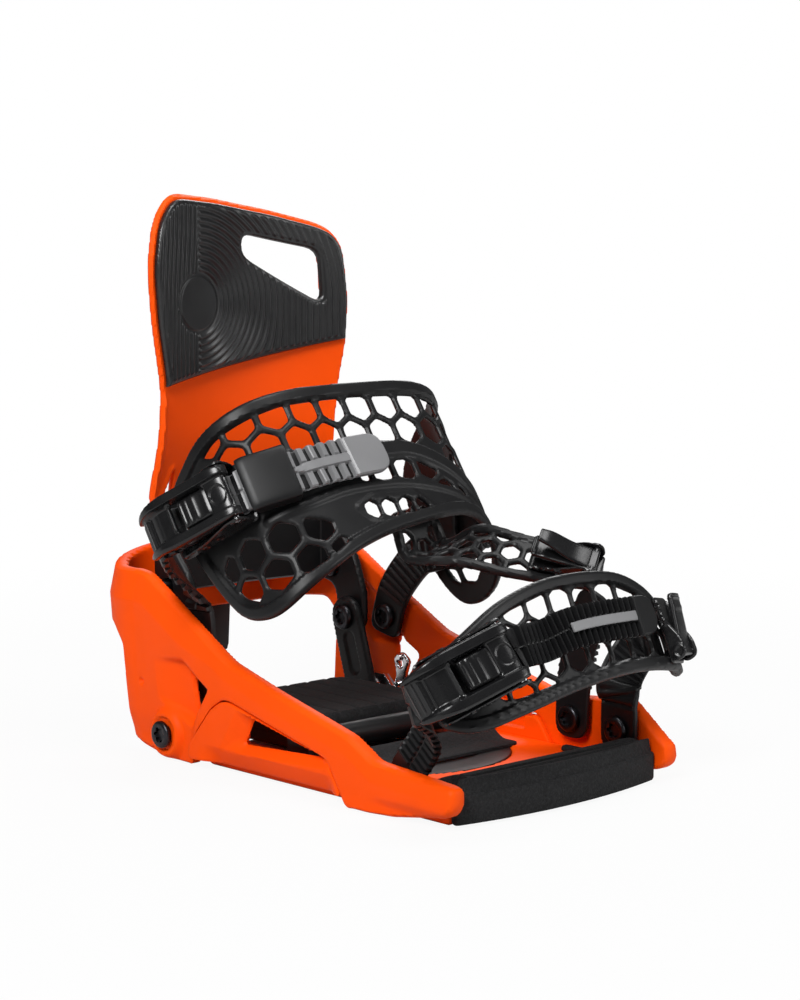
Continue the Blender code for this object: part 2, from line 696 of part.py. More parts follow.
def mounting_disc():
    top = FLOOR_THICKNESS - GAP
    profile = [(0, 0), (DISC_RADIUS, 0), (DISC_RADIUS, DISC_LIP + GAP), (DISC_FLANGE_RADIUS, DISC_LIP + GAP)]
    profile += [(DISC_FLANGE_RADIUS, top), (0, top)]
    item = make_object("mounting_disc", *turned(profile, (0, 0, 0), (0, 0, 1), DISC_SIDES), "black")
    half = DISC_SCREW_PITCH / 2
    seat = top - DISC_SCREW_HEAD - GAP
    for x, y in ((-half, -half), (half, -half), (half, half), (-half, half)):
        pocket(item, (x, y, -MM), (0, 0, 1), DISC_SCREW_RADIUS, FLOOR_THICKNESS * 2)
        pocket(item, (x, y, seat - GAP), (0, 0, 1), DISC_SCREW_HEAD_RADIUS, FLOOR_THICKNESS)
    for index, (x, y) in enumerate(((-half, -half), (half, -half), (half, half), (-half, half))):
        base = (x, y, GAP)
        screw = bolt(base, (0, 0, 1), DISC_SCREW_RADIUS, seat - GAP, DISC_SCREW_HEAD_RADIUS, DISC_SCREW_HEAD)
        make_object("disc_screw_%d" % (index + 1), *screw, "steel")


def footbed():
    half = FOOTBED_HALF_WIDTH
    outline = rounded([(-half, FOOTBED_FRONT_Y), (half, FOOTBED_FRONT_Y), (half, FOOTBED_REAR_Y),
                       (-half, FOOTBED_REAR_Y)], 8 * MM)
    verts, faces = plate(outline, [], PLAN_VIEW, FLOOR_THICKNESS + GAP, FOOTBED_HEIGHT, 40 * MM)
    make_object("footbed_pad", verts, faces, "foam")


def toe_bumper():
    """A foam bumper across the toe with thin arms along both rails."""
    half = FLOOR_HALF
    back = FLOOR_FRONT_Y - GAP
    steps = 10
    bow = []
    for step in range(steps + 1):
        share = 2 * step / steps - 1
        bow.append((half * share, back - BUMPER_DEPTH + BUMPER_BOW * share * share))
    bow += [(half, back), (-half, back)]
    block = plate(bow, [], PLAN_VIEW, BUMPER_GROUND_GAP, BUMPER_HEIGHT, 30 * MM)
    item = make_object("toe_bumper", *block, "foam")
    outer = half - BUMPER_ARM_INSET
    inner = outer - BUMPER_ARM
    rear = BUMPER_ARM_REAR_Y
    frame = [(-outer, back - MM), (outer, back - MM), (outer, rear), (inner, rear)]
    frame += [(inner, back + BUMPER_ARM), (-inner, back + BUMPER_ARM), (-inner, rear), (-outer, rear)]
    rim = plate(frame, [], PLAN_VIEW, FLOOR_THICKNESS + GAP, BUMPER_HEIGHT, 30 * MM)
    boolean(item, tool(*rim), "UNION")


# Highback, cradle and link arms

def highback_place(x, z, e):
    """The highback's front face at x across and height z, moved back by e."""
    share = smooth_step((z - HIGHBACK_FOOT_Z) / (HIGHBACK_FLARE_Z - HIGHBACK_FOOT_Z))
    edge = HIGHBACK_FOOT_EDGE_Y + (HIGHBACK_EDGE_Y - HIGHBACK_FOOT_EDGE_Y) * share
    bow = HIGHBACK_FOOT_BOW + (HIGHBACK_BOW - HIGHBACK_FOOT_BOW) * share
    return Vector((x, edge + bow * (1 - (x / HIGHBACK_HALF_WIDTH) ** 2) + e, z))


def highback_outline():
    """Front view of the highback, counterclockwise from the near foot."""
    wide = HIGHBACK_HALF_WIDTH
    foot = HIGHBACK_FOOT_HALF_WIDTH
    near = HIGHBACK_TOP_NEAR
    far = HIGHBACK_TOP_FAR
    flare = HIGHBACK_FLARE_Z
    right = [(foot - 12 * MM, HIGHBACK_FOOT_Z), (foot + MM, HIGHBACK_FOOT_Z + 20 * MM), (foot, flare),
             (foot + 2.5 * MM, flare + 17 * MM), (wide, flare + 36 * MM), (wide + MM, far - 36 * MM),
             (wide - 1.5 * MM, far - 12 * MM), (wide - 7 * MM, far - 4 * MM), (wide - 15 * MM, far),
             (20 * MM, far + (near - far) * 0.45)]
    left = [(-13 * MM, near - 2 * MM), (-wide + 20 * MM, near), (-wide + 12 * MM, near - 4 * MM),
            (-wide + 4 * MM, near - 14 * MM), (-wide, near - 34 * MM), (-wide + 3 * MM, flare + 47 * MM),
            (-foot + MM, flare + 30 * MM), (-foot + 4 * MM, flare + 15 * MM),
            (-foot + 2 * MM, flare - 5 * MM),
            (-foot - MM, HIGHBACK_FOOT_Z + 20 * MM), (-foot + 12 * MM, HIGHBACK_FOOT_Z)]
    return right + left


def handle_hole():
    near = HIGHBACK_TOP_NEAR - 17.5 * MM
    far = HIGHBACK_TOP_FAR - 13 * MM
    return rounded([(0.5 * MM, near), (46 * MM, far), (48 * MM, far - 28 * MM), (0, far - 2.5 * MM)], 5 * MM)


def highback():
    outline = rounded(highback_outline(), 5 * MM, 2)
    foot = HIGHBACK_FOOT_HALF_WIDTH
    window = [(foot - 13.5 * MM, 113 * MM), (foot - 6 * MM, 111 * MM), (foot - 13 * MM, 129 * MM)]
    holes = [handle_hole(), rounded(window, MM, 2), rounded([(-x, z) for x, z in reversed(window)], MM, 2)]
    verts, faces = plate(outline, holes, highback_place, 0, HIGHBACK_THICKNESS, 13 * MM)
    make_object("highback_shell", verts, faces, "orange", (0, PIVOT_Y, PIVOT_Z))


def highback_pad():
    edge = inset(rounded(highback_outline(), 5 * MM, 2), PAD_MARGIN)
    half = HIGHBACK_HALF_WIDTH

    def foot_line(x):
        return PAD_FOOT_NEAR + (PAD_FOOT_FAR - PAD_FOOT_NEAR) * (x + half) / (2 * half)

    outline = [(x, z) for x, z in edge if z > foot_line(x) + 3 * MM]
    start = outline[0][0]
    stop = outline[-1][0]
    outline = [(start, foot_line(start))] + outline + [(stop, foot_line(stop))]
    hole = inset(handle_hole(), PAD_HOLE_MARGIN)
    verts, faces = plate(outline, [hole], highback_place, -GAP - PAD_THICKNESS, -GAP, 14 * MM)
    make_object("highback_pad", verts, faces, "foam", (0, PIVOT_Y, PIVOT_Z))


CRADLE_FLAT = CRADLE_HALF_WIDTH - CRADLE_CORNER_RADIUS
CRADLE_TURN = math.pi / 2 * CRADLE_CORNER_RADIUS


def cradle_back(x):
    """The cradle's rear face, a clearance in front of the highback's foot."""
    return highback_place(x, HIGHBACK_FOOT_Z, -2 * GAP).y


def cradle_side(y):
    """Length along the cradle's plan to a place on its side arm."""
    return CRADLE_FLAT + CRADLE_TURN + cradle_back(CRADLE_FLAT) - CRADLE_CORNER_RADIUS - y


def cradle_place(u, v, e):
    side = math.copysign(1.0, u)
    length = abs(u)
    if length <= CRADLE_FLAT:
        return Vector((u, cradle_back(u) - e, v))
    turn_y = cradle_back(CRADLE_FLAT) - CRADLE_CORNER_RADIUS
    if length >= CRADLE_FLAT + CRADLE_TURN:
        return Vector((side * (CRADLE_HALF_WIDTH - e), turn_y - (length - CRADLE_FLAT - CRADLE_TURN), v))
    turn = (length - CRADLE_FLAT) / CRADLE_CORNER_RADIUS
    reach = CRADLE_CORNER_RADIUS - e
    return Vector((side * (CRADLE_FLAT + reach * math.sin(turn)), turn_y + reach * math.cos(turn), v))


def highback_cradle():
    bolt_u = cradle_side(LINK_BOLT_Y)
    bolt_z = LINK_BOLT_Z
    reach = LINK_HALF_WIDTH
    half = [(0, CRADLE_TOP_Z), (CRADLE_FLAT, CRADLE_TOP_Z), (cradle_side(100 * MM), CRADLE_TOP_Z - MM),
            (bolt_u + reach * 0.2, bolt_z + 30 * MM), (bolt_u + reach, bolt_z + 12 * MM),
            (bolt_u + reach, bolt_z - 4 * MM), (bolt_u + reach * 0.4, bolt_z - reach),
            (bolt_u - reach * 0.5, bolt_z - reach),
            (bolt_u - reach * 1.2, bolt_z), (cradle_side(100 * MM), CRADLE_FOOT_Z - 6 * MM),
            (CRADLE_FLAT, CRADLE_FOOT_Z - 2 * MM), (0, CRADLE_FOOT_Z)]
    outline = half[1:-1] + [(-u, z) for u, z in reversed(half[1:-1])]
    holes = [circle((side * bolt_u, bolt_z), LINK_BOLT_RADIUS + RUNNING_GAP) for side in (-1, 1)]
    pivot_u = cradle_side(PIVOT_Y)
    holes += [circle((side * pivot_u, PIVOT_Z), PIVOT_BOLT_RADIUS + RUNNING_GAP) for side in (-1, 1)]
    verts, faces = plate(outline, holes, cradle_place, 0, CRADLE_THICKNESS, 10 * MM)
    make_object("highback_cradle", verts, faces, "black", (0, PIVOT_Y, PIVOT_Z))


def pivot_bolts():
    """Bolts from inside the cradle's arms into the hoop's ears."""
    for side, label in ((-1, "outer"), (1, "inner")):
        seat = INNER_HALF + ANCHOR_DEPTH - GAP
        length = seat - (CRADLE_HALF_WIDTH - CRADLE_THICKNESS - GAP)
        base = (side * seat, PIVOT_Y, PIVOT_Z)
        pieces = bolt(base, (-side, 0, 0), PIVOT_BOLT_RADIUS, length, PIVOT_HEAD_RADIUS, PIVOT_HEAD)
        make_object("highback_pivot_" + label, *pieces, "steel")


LINK_OUTER_X = CRADLE_HALF_WIDTH - CRADLE_THICKNESS - LINK_SIDE_GAP
LINK_INNER_X = LINK_OUTER_X - LINK_THICKNESS
LINK_PIN_Z = PEDAL_AXIS_Z


def capsule(start, end, radius, steps=7):
    """Outline of a bar with round ends between two points."""
    start = Vector(start)
    end = Vector(end)
    angle = math.atan2(end.y - start.y, end.x - start.x)
    outline = []
    for centre, base in ((end, angle - math.pi / 2), (start, angle + math.pi / 2)):
        for step in range(steps + 1):
            turn = base + math.pi * step / steps
            outline.append((centre.x + radius * math.cos(turn), centre.y + radius * math.sin(turn)))
    return outline


def link_arms():
    top = (LINK_BOLT_Y, LINK_BOLT_Z)
    foot = (LINK_PIN_Y, LINK_PIN_Z)
    outline = capsule(foot, top, LINK_HALF_WIDTH)
    holes = [circle(top, LINK_BOLT_RADIUS + RUNNING_GAP), circle(foot, LINK_EYE_RADIUS)]
    for side, label in ((-1, "outer"), (1, "inner")):
        low = min(side * LINK_INNER_X, side * LINK_OUTER_X)
        verts, faces = plate(outline, holes, SIDE_VIEW, low, low + LINK_THICKNESS, 14 * MM)
        make_object("link_arm_" + label, verts, faces, "black", (0, LINK_BOLT_Y, LINK_BOLT_Z))
        base = (side * CRADLE_HALF_WIDTH, *top)
        length = CRADLE_HALF_WIDTH - LINK_INNER_X + GAP
        pieces = bolt(base, (-side, 0, 0), LINK_BOLT_RADIUS, length, LINK_HEAD_RADIUS, LINK_HEAD)
        make_object("link_bolt_" + label, *pieces, "steel")


# Heel pedal

def heel_pedal():
    half = PEDAL_HALF_WIDTH
    low = PEDAL_AXIS_Z - PEDAL_THICKNESS / 2
    rear = PEDAL_REAR_Y
    outline = rounded([(-half, PEDAL_AXIS_Y), (half, PEDAL_AXIS_Y), (half, rear), (-half, rear)], 10 * MM, 4)
    verts, faces = plate(outline, [], PLAN_VIEW, low, low + PEDAL_THICKNESS, 60 * MM)
    axis = (0, PEDAL_AXIS_Y, PEDAL_AXIS_Z)
    item = make_object("heel_pedal", verts, faces, "black", axis)
    reach = PEDAL_EAR_X - RUNNING_GAP
    barrel = rod((-reach, PEDAL_AXIS_Y, PEDAL_AXIS_Z), (1, 0, 0), PEDAL_KNUCKLE_RADIUS, 2 * reach)
    boolean(item, tool(*barrel), "UNION")
    pocket(item, (-2 * reach, PEDAL_AXIS_Y, PEDAL_AXIS_Z), (1, 0, 0), PEDAL_AXLE_RADIUS, 4 * reach)
    half = PEDAL_PAD_HALF_WIDTH
    front = PEDAL_AXIS_Y + PEDAL_KNUCKLE_RADIUS + 3 * MM
    back = rear - 3 * MM
    outline = rounded([(-half, front), (half, front), (half, back), (-half, back)], 10 * MM, 4)
    base = low + PEDAL_THICKNESS + GAP
    verts, faces = plate(outline, [], PLAN_VIEW, base, base + PEDAL_PAD_THICKNESS, 60 * MM)
    make_object("pedal_pad", verts, faces, "foam", axis)
    reach = PEDAL_EAR_X + PEDAL_EAR_WIDTH / 2 - GAP
    axle = rod((-reach, PEDAL_AXIS_Y, PEDAL_AXIS_Z), (1, 0, 0), PEDAL_AXLE_RADIUS, 2 * reach)
    make_object("pedal_axle", *axle, "steel")


LATCH_INNER_X = LINK_OUTER_X + 3 * LINK_SIDE_GAP


def link_pins():
    """Pins on the pedal's sides that ride in the link arms' eyes; the inner one also takes the latch."""
    for side, label in ((-1, "outer"), (1, "inner")):
        start = side * (PEDAL_HALF_WIDTH + GAP)
        end = LINK_OUTER_X + LINK_SIDE_GAP if side < 0 else LATCH_INNER_X + LATCH_THICKNESS
        length = end - PEDAL_HALF_WIDTH - GAP
        pieces = rod((start, LINK_PIN_Y, LINK_PIN_Z), (side, 0, 0), LINK_PIN_RADIUS, length)
        make_object("link_pin_" + label, *pieces, "steel", (0, PEDAL_AXIS_Y, PEDAL_AXIS_Z))


# Latch and release lever

def latch():
    y, z = LATCH_AXIS_Y, LATCH_AXIS_Z
    nose = LINK_PIN_Z + LINK_PIN_RADIUS + LATCH_LIFT
    tip = LINK_PIN_Y + 1.5 * MM
    hub = [math.radians(turn) for turn in range(120, 331, 30)]
    outline = [(y + LATCH_HUB_RADIUS * math.cos(turn), z + LATCH_HUB_RADIUS * math.sin(turn)) for turn in hub]
    top = nose + LATCH_NOSE
    outline += [(tip - 9 * MM, nose), (tip, nose), (tip, top), (tip - 12 * MM, top)]
    hole = circle((y, z), LATCH_PIN_RADIUS + RUNNING_GAP)
    verts, faces = plate(outline, [hole], SIDE_VIEW, LATCH_INNER_X, LATCH_INNER_X + LATCH_THICKNESS, 20 * MM)
    make_object("latch_hook", verts, faces, "steel", (0, y, z))
    start = LATCH_INNER_X - MM
    length = FLOOR_HALF + ANCHOR_DEPTH - GAP - start
    make_object("latch_pin", *rod((start, y, z), (1, 0, 0), LATCH_PIN_RADIUS, length), "steel")


def latch_spring():
    """A torsion spring round the latch pin, one unbroken wire; its least gap to itself is printed."""
    points_per_turn = 10
    sides = 6
    start = LATCH_INNER_X + LATCH_THICKNESS + GAP + SPRING_WIRE_RADIUS
    count = SPRING_TURNS * points_per_turn + 1
    centres = []
    for index in range(count):
        turn = 2 * math.pi * index / points_per_turn
        centres.append(Vector((start + SPRING_PITCH * index / points_per_turn,
                               LATCH_AXIS_Y + SPRING_RADIUS * math.cos(turn),
                               LATCH_AXIS_Z + SPRING_RADIUS * math.sin(turn))))
    verts = []
    for index, centre in enumerate(centres):
        turn = 2 * math.pi * index / points_per_turn
        outward = Vector((0, math.cos(turn), math.sin(turn)))
        along = Vector((1, 0, 0))
        for side in range(sides):
            angle = 2 * math.pi * side / sides
            verts.append(centre + (outward * math.cos(angle) + along * math.sin(angle)) * SPRING_WIRE_RADIUS)
    faces = [tuple(range(sides))]
    for index in range(count - 1):
        for side in range(sides):
            following = (side + 1) % sides
            first = index * sides
            faces.append((first + side, first + sides + side, first + sides + following, first + following))
    faces.append(tuple(range((count - 1) * sides, count * sides)))
    make_object("latch_spring", verts, faces, "steel")
    gap = min((a - b).length for i, a in enumerate(centres) for b in centres[i + points_per_turn // 2:])
    print("latch_spring least gap mm %.2f" % ((gap - 2 * SPRING_WIRE_RADIUS) / MM))


def release_lever():
    y = HEEL_Y + RELEASE_AXIS_REACH
    z = RELEASE_AXIS_Z
    thick = RELEASE_THICKNESS / 2
    outline = capsule((y, z), (y + 2 * MM, z - RELEASE_LENGTH), RELEASE_LUG_RADIUS - GAP, 5)
    hole = circle((y, z), RELEASE_PIN_RADIUS + RUNNING_GAP)
    half = RELEASE_HALF_WIDTH
    verts, faces = plate(outline, [hole], SIDE_VIEW, -half, half, 40 * MM)
    item = make_object("release_lever", verts, faces, "black", (0, y, z))
    grip = box((-half + 5 * MM, y + thick, z - RELEASE_LENGTH), (half - 5 * MM, y + 20 * MM, z - 8 * MM))
    boolean(item, tool(*grip), "DIFFERENCE")
    reach = RELEASE_HALF_WIDTH + RUNNING_GAP - GAP / 2
    make_object("release_pin", *rod((-reach, y, z), (1, 0, 0), RELEASE_PIN_RADIUS, 2 * reach), "steel")


# Straps

class Arch:
    """A strap's arch: half a superellipse across the boot, drawn out along the tilt of the strap."""

    def __init__(self, top, tilt, half_width, height, power):
        turn = math.radians(tilt)
        self.top = Vector(top)
        self.along = Vector((0, -math.sin(turn), -math.cos(turn)))
        self.out = Vector((0, -math.cos(turn), math.sin(turn)))
        samples = np.linspace(0, math.pi, 721)
        cosine = np.cos(samples)
        self.across = -half_width * np.sign(cosine) * np.abs(cosine) ** (2 / power)
        self.rise = height * (np.abs(np.sin(samples)) ** (2 / power) - 1)
        steps = np.hypot(np.diff(self.across), np.diff(self.rise))
        length = np.concatenate([[0], np.cumsum(steps)])
        self.length = length - length[len(length) // 2]

    def flat(self, s):
        beyond = max(0.0, abs(s) - self.length[-1])
        return np.interp(s, self.length, self.across), np.interp(s, self.length, self.rise) - beyond

    def place(self, s, v, e):
        """Length s along the arch from its top, v along the tilt and e outward."""
        step = 2 * MM
        x0, h0 = self.flat(s - step)
        x1, h1 = self.flat(s + step)
        x, h = self.flat(s)
        size = math.hypot(x1 - x0, h1 - h0)
        x -= e * (h1 - h0) / size
        h += e * (x1 - x0) / size
        return self.top + Vector((x, 0, 0)) + self.out * h + self.along * v

    def height_over(self, x, h):
        """How far a point in the arch's plane lies outside it."""
        nearest = int(np.argmin(np.hypot(self.across - x, self.rise - h)))
        s = self.length[nearest]
        x0, h0 = self.flat(s - 2 * MM)
        x1, h1 = self.flat(s + 2 * MM)
        size = math.hypot(x1 - x0, h1 - h0)
        return ((h - self.rise[nearest]) * (x1 - x0) - (x - self.across[nearest]) * (h1 - h0)) / size


ANKLE = Arch(ANKLE_TOP, ANKLE_TILT, ANKLE_HALF_WIDTH, ANKLE_ARCH_HEIGHT, ANKLE_ARCH_POWER)
TOE = Arch(TOE_TOP, TOE_TILT, TOE_HALF_WIDTH, TOE_ARCH_HEIGHT, TOE_ARCH_POWER)
ANKLE_AXIS = (0, *ANKLE_ANCHOR)
TOE_AXIS = (-INNER_HALF + ANCHOR_INSET, *TOE_ANCHOR_NEAR)


class Local:
    """A frame of its own for a buckle: first along it, second across, third away from the boot."""

    def __init__(self, origin, first, third):
        self.origin = Vector(origin)
        self.first = Vector(first).normalized()
        third = Vector(third)
        self.third = (third - self.first * third.dot(self.first)).normalized()
        self.second = self.third.cross(self.first)

    def point(self, a, b, c):
        return self.origin + self.first * a + self.second * b + self.third * c

    def side(self, u, v, e):
        return self.point(u, e, v)

    def floor(self, u, v, e):
        return self.point(u, v, e)


class Sweep:
    """A band along a smooth path; its across direction turns from one to another by a share of the way."""

    def __init__(self, points, across, outside, settled=1.0):
        self.points = smooth_path(points, 8 * len(points))
        steps = [0.0]
        for first, second in zip(self.points, self.points[1:]):
            steps.append(steps[-1] + (second - first).length)
        self.steps = np.array(steps)
        self.length = steps[-1]
        self.across = [Vector(item) for item in across]
        self.settled = settled
        self.turn = 1.0
        if self.frame(0)[2].dot(Vector(outside)) < 0:
            self.turn = -1.0

    def frame(self, u):
        share = min(max(u / self.length, 0.0), 1.0)
        at = float(np.interp(u, self.steps, np.arange(len(self.steps))))
        index = min(int(at), len(self.points) - 2)
        centre = self.points[index].lerp(self.points[index + 1], at - index)
        ahead = self.points[min(index + 2, len(self.points) - 1)]
        behind = self.points[max(index - 1, 0)]
        tangent = (ahead - behind).normalized()
        across = self.across[0].lerp(self.across[1], smooth_step(share / self.settled))
        across = (across - tangent * across.dot(tangent)).normalized()
        return centre, across, tangent.cross(across) * self.turn

    def place(self, u, v, e):
        centre, across, normal = self.frame(u)
        return centre + across * v + normal * e

    def length_at(self, point):
        gaps = [(item - point).length for item in self.points]
        return float(self.steps[int(np.argmin(gaps))])


def honeycomb(outline, keep, pitch, strut):
    """Six-sided holes on a staggered grid, those that lie whole inside an outline and pass a test."""
    ring = np.array(outline)
    reach = (pitch - strut) / 2 / math.cos(math.pi / 6)
    cells = []
    row = 0
    v = ring[:, 1].min() + reach
    while v < ring[:, 1].max():
        u = ring[:, 0].min() + (pitch / 2 if row % 2 else 0)
        while u < ring[:, 0].max():
            turns = [math.radians(60 * side + 30) for side in range(6)]
            cell = [(u + reach * math.cos(turn), v + reach * math.sin(turn)) for turn in turns]
            if inside(np.array(cell), outline).all() and all(keep(*corner) for corner in cell):
                cells.append(cell)
            u += pitch
        v += pitch * math.cos(math.pi / 6)
        row += 1
    return cells


def cut_to(cell, shape):
    """The part of a shape that lies inside a convex cell, both counterclockwise, cut back one side at a time."""
    for first, second in zip(cell, cell[1:] + cell[:1]):
        run = (second[0] - first[0], second[1] - first[1])
        depth = [run[0] * (v - first[1]) - run[1] * (u - first[0]) for u, v in shape]
        kept = []
        for index, here in enumerate(shape):
            follow = (index + 1) % len(shape)
            there = shape[follow]
            if depth[index] >= 0:
                kept.append(here)
            if depth[index] * depth[follow] < 0:
                share = depth[index] / (depth[index] - depth[follow])
                kept.append((here[0] + share * (there[0] - here[0]), here[1] + share * (there[1] - here[1])))
        shape = kept
    return shape


def plain_opening(loop):
    """A loop without its shortest sides, or nothing where the loop is too small to be moulded."""
    steps = zip(loop, loop[-1:] + loop[:-1])
    apart = [here for here, before in steps if math.dist(here, before) > OPENING_SIDE]
    pairs = zip(apart, apart[1:] + apart[:1])
    area = sum(u * b - v * a for (u, v), (a, b) in pairs) / 2
    return apart if len(apart) > 2 and area > OPENING_AREA else []


def comb(zone, pitch, strut, origin):
    """Six-sided openings on a staggered grid through an origin, each cut back to a zone."""
    zone = [(s * MM, v * MM) for s, v in zone]
    origin = (origin[0] * MM, origin[1] * MM)
    reach = (pitch - strut) / 2 / math.cos(math.pi / 6)
    rise = pitch * math.cos(math.pi / 6)
    low = np.array(zone).min(0)
    high = np.array(zone).max(0)
    cells = []
    for row in range(int((low[1] - origin[1]) // rise), int((high[1] - origin[1]) // rise) + 2):
        shift = origin[0] + (pitch / 2 if row % 2 else 0)
        for column in range(int((low[0] - shift) // pitch), int((high[0] - shift) // pitch) + 2):
            middle = (shift + column * pitch, origin[1] + row * rise)
            turns = [math.radians(60 * side + 30) for side in range(6)]
            cell = [(middle[0] + reach * math.cos(turn), middle[1] + reach * math.sin(turn)) for turn in turns]
            cells.append(plain_opening(cut_to(cell, zone)))
    return [cell for cell in cells if cell]


def ankle_openings():
    """One comb through the rear band and both lobes, and finer ones between the ridges and in front of them."""
    rear = [(-92, -17), (-75, -24), (-40, -29), (0, -30.5), (38, -30), (70, -26), (72, 10), (60, 14), (54, 11),
            (41, 1), (22, -6.5), (6, -7.5), (-20, -7.5), (-46, -6.5), (-68, -7), (-74, -13)]
    near_lobe = [(-97, 28), (-90, 23.5), (-66, 22.5), (-50, 25), (-39, 29), (-33.5, 39), (-46, 45.5), (-58, 49.5),
                 (-70, 52.5), (-80, 52), (-90, 45)]
    far_lobe = [[(64, 35), (74, 29), (77.5, 42), (76.5, 51), (68, 45)],
                [(79.5, 43), (97, 43), (96, 51), (88, 54), (79, 51.5)],
                [(101, 30), (106, 30), (105, 42), (99.5, 47), (99.5, 42)]]
    middle = [(-14, 3), (21, 3), (38, 12), (50, 22), (44, 24), (40, 19.5), (12, 12.5), (-14, 12.5)]
    front = [(-22, 25), (-11, 20.5), (4, 21), (5, 30.5), (-8.5, 33), (-18, 29.5)]
    cells = []
    for zone in [rear, near_lobe] + far_lobe:
        cells += comb(zone, ANKLE_COMB_PITCH, COMB_STRUT, (-109.5, -25.4))
    cells += comb(middle, ANKLE_COMB_PITCH - 2 * MM, COMB_STRUT, (0, 8))
    return cells + comb(front, FINE_COMB_PITCH, FINE_COMB_STRUT, (-15, 26.5))


def ankle_outline():
    """The ankle strap laid flat, counterclockwise: a narrow rear band and two lobes in front."""
    rear = [(112, -4), (108, -15), (95, -26), (75, -33), (40, -37.5), (0, -37.5), (-40, -36), (-75, -31),
            (-95, -24), (-108, -17), (-112, -6)]
    front = [(-114, 20), (-112, 42), (-104, 56), (-90, 62), (-75, 60), (-55, 52), (-30, 43), (0, 37),
             (40, 33), (58, 41), (74, 56), (90, 61), (104, 56), (112, 40), (114, 20)]
    return [(s * MM, v * MM) for s, v in reversed(rear + front)]


def ankle_strap():
    outline = ankle_outline()
    verts, faces = plate(outline, ankle_openings(), ANKLE.place, 0, STRAP_THICKNESS, 12 * MM)
    make_object("ankle_strap", verts, faces, "black", ANKLE_AXIS)


def toe_outline():
    rear = [(74, 4), (64, -8), (50, -20), (29, -27.5), (-6, -28), (-35, -22), (-57, -12), (-70, -4), (-75, 5)]
    front = [(-77, 18), (-72, 26), (-60, 29), (-40, 26.5), (-6, 21), (29, 18), (60, 19.5), (74, 21), (78, 14)]
    return [(s * MM, v * MM) for s, v in reversed(rear + front)]


def toe_strap():
    outline = toe_outline()

    def open_zone(s, _):
        return -45 * MM < s < 66 * MM

    cells = honeycomb(inset(outline, STRAP_RIM), open_zone, TOE_COMB_PITCH, COMB_STRUT)
    verts, faces = plate(outline, cells, TOE.place, 0, STRAP_THICKNESS, 12 * MM)
    make_object("toe_strap", verts, faces, "black", TOE_AXIS)


def seated(arch, place, lean, skew):
    """A buckle's frame at a place on the arch, raised until its floor lies a clearance over the strap."""
    turn = math.radians(lean)
    ahead = (math.cos(turn), math.sin(turn))
    x, h, v = place
    raised = 0.0
    for step in range(-10, 11):
        along = BUCKLE_LENGTH / 2 * step / 10
        over = arch.height_over(x + ahead[0] * along, h + ahead[1] * along)
        raised = max(raised, (STRAP_THICKNESS + 2 * GAP - over) / math.cos(turn / 3))
    third = Vector((-ahead[1], 0, 0)) + arch.out * ahead[0]
    origin = arch.top + Vector((x, 0, 0)) + arch.out * h + arch.along * v + third * raised
    aside = math.radians(skew)
    first = (Vector((ahead[0], 0, 0)) + arch.out * ahead[1]) * math.cos(aside) - arch.along * math.sin(aside)
    return Local(origin, first, third)


ANKLE_FRAME = seated(ANKLE, ANKLE_BUCKLE, ANKLE_BUCKLE_LEAN, 0.0)
TOE_FRAME = seated(TOE, TOE_BUCKLE, TOE_BUCKLE_LEAN, TOE_BUCKLE_SKEW)


def channel(name, frame, length, half_width, pin, pin_radius, axis):
    """A buckle's base: a floor with two cheeks that hold a pin."""
    wall = BUCKLE_WALL
    middle = half_width - wall / 2
    half = length / 2
    floor = [(-half, -middle), (half, -middle), (half, middle), (-half, middle)]
    item = make_object(name, *plate(floor, [], frame.floor, 0, wall, 40 * MM), "black", axis)
    a, c = pin
    top = c + pin_radius * 2
    cheek = [(-half + 2 * MM, wall * 0.3), (half - 2 * MM, wall * 0.3), (min(a + 4 * MM, half), c - 2 * MM),
             (a + 2 * MM, top), (a - 5 * MM, top), (-half * 0.3, c * 0.6), (-half + MM, c * 0.45)]
    hole = circle(pin, pin_radius + RUNNING_GAP, 10)
    for side in (-1, 1):
        low = min(side * (half_width - wall), side * half_width)
        boolean(item, tool(*plate(cheek, [hole], frame.side, low, low + wall, 40 * MM)), "UNION")


def hub(pin, radius, start, stop, steps=6):
    """Points on an arc round a pin, between two directions in degrees."""
    turns = [math.radians(start + (stop - start) * step / steps) for step in range(steps + 1)]
    return [(pin[0] + radius * math.cos(turn), pin[1] + radius * math.sin(turn)) for turn in turns]


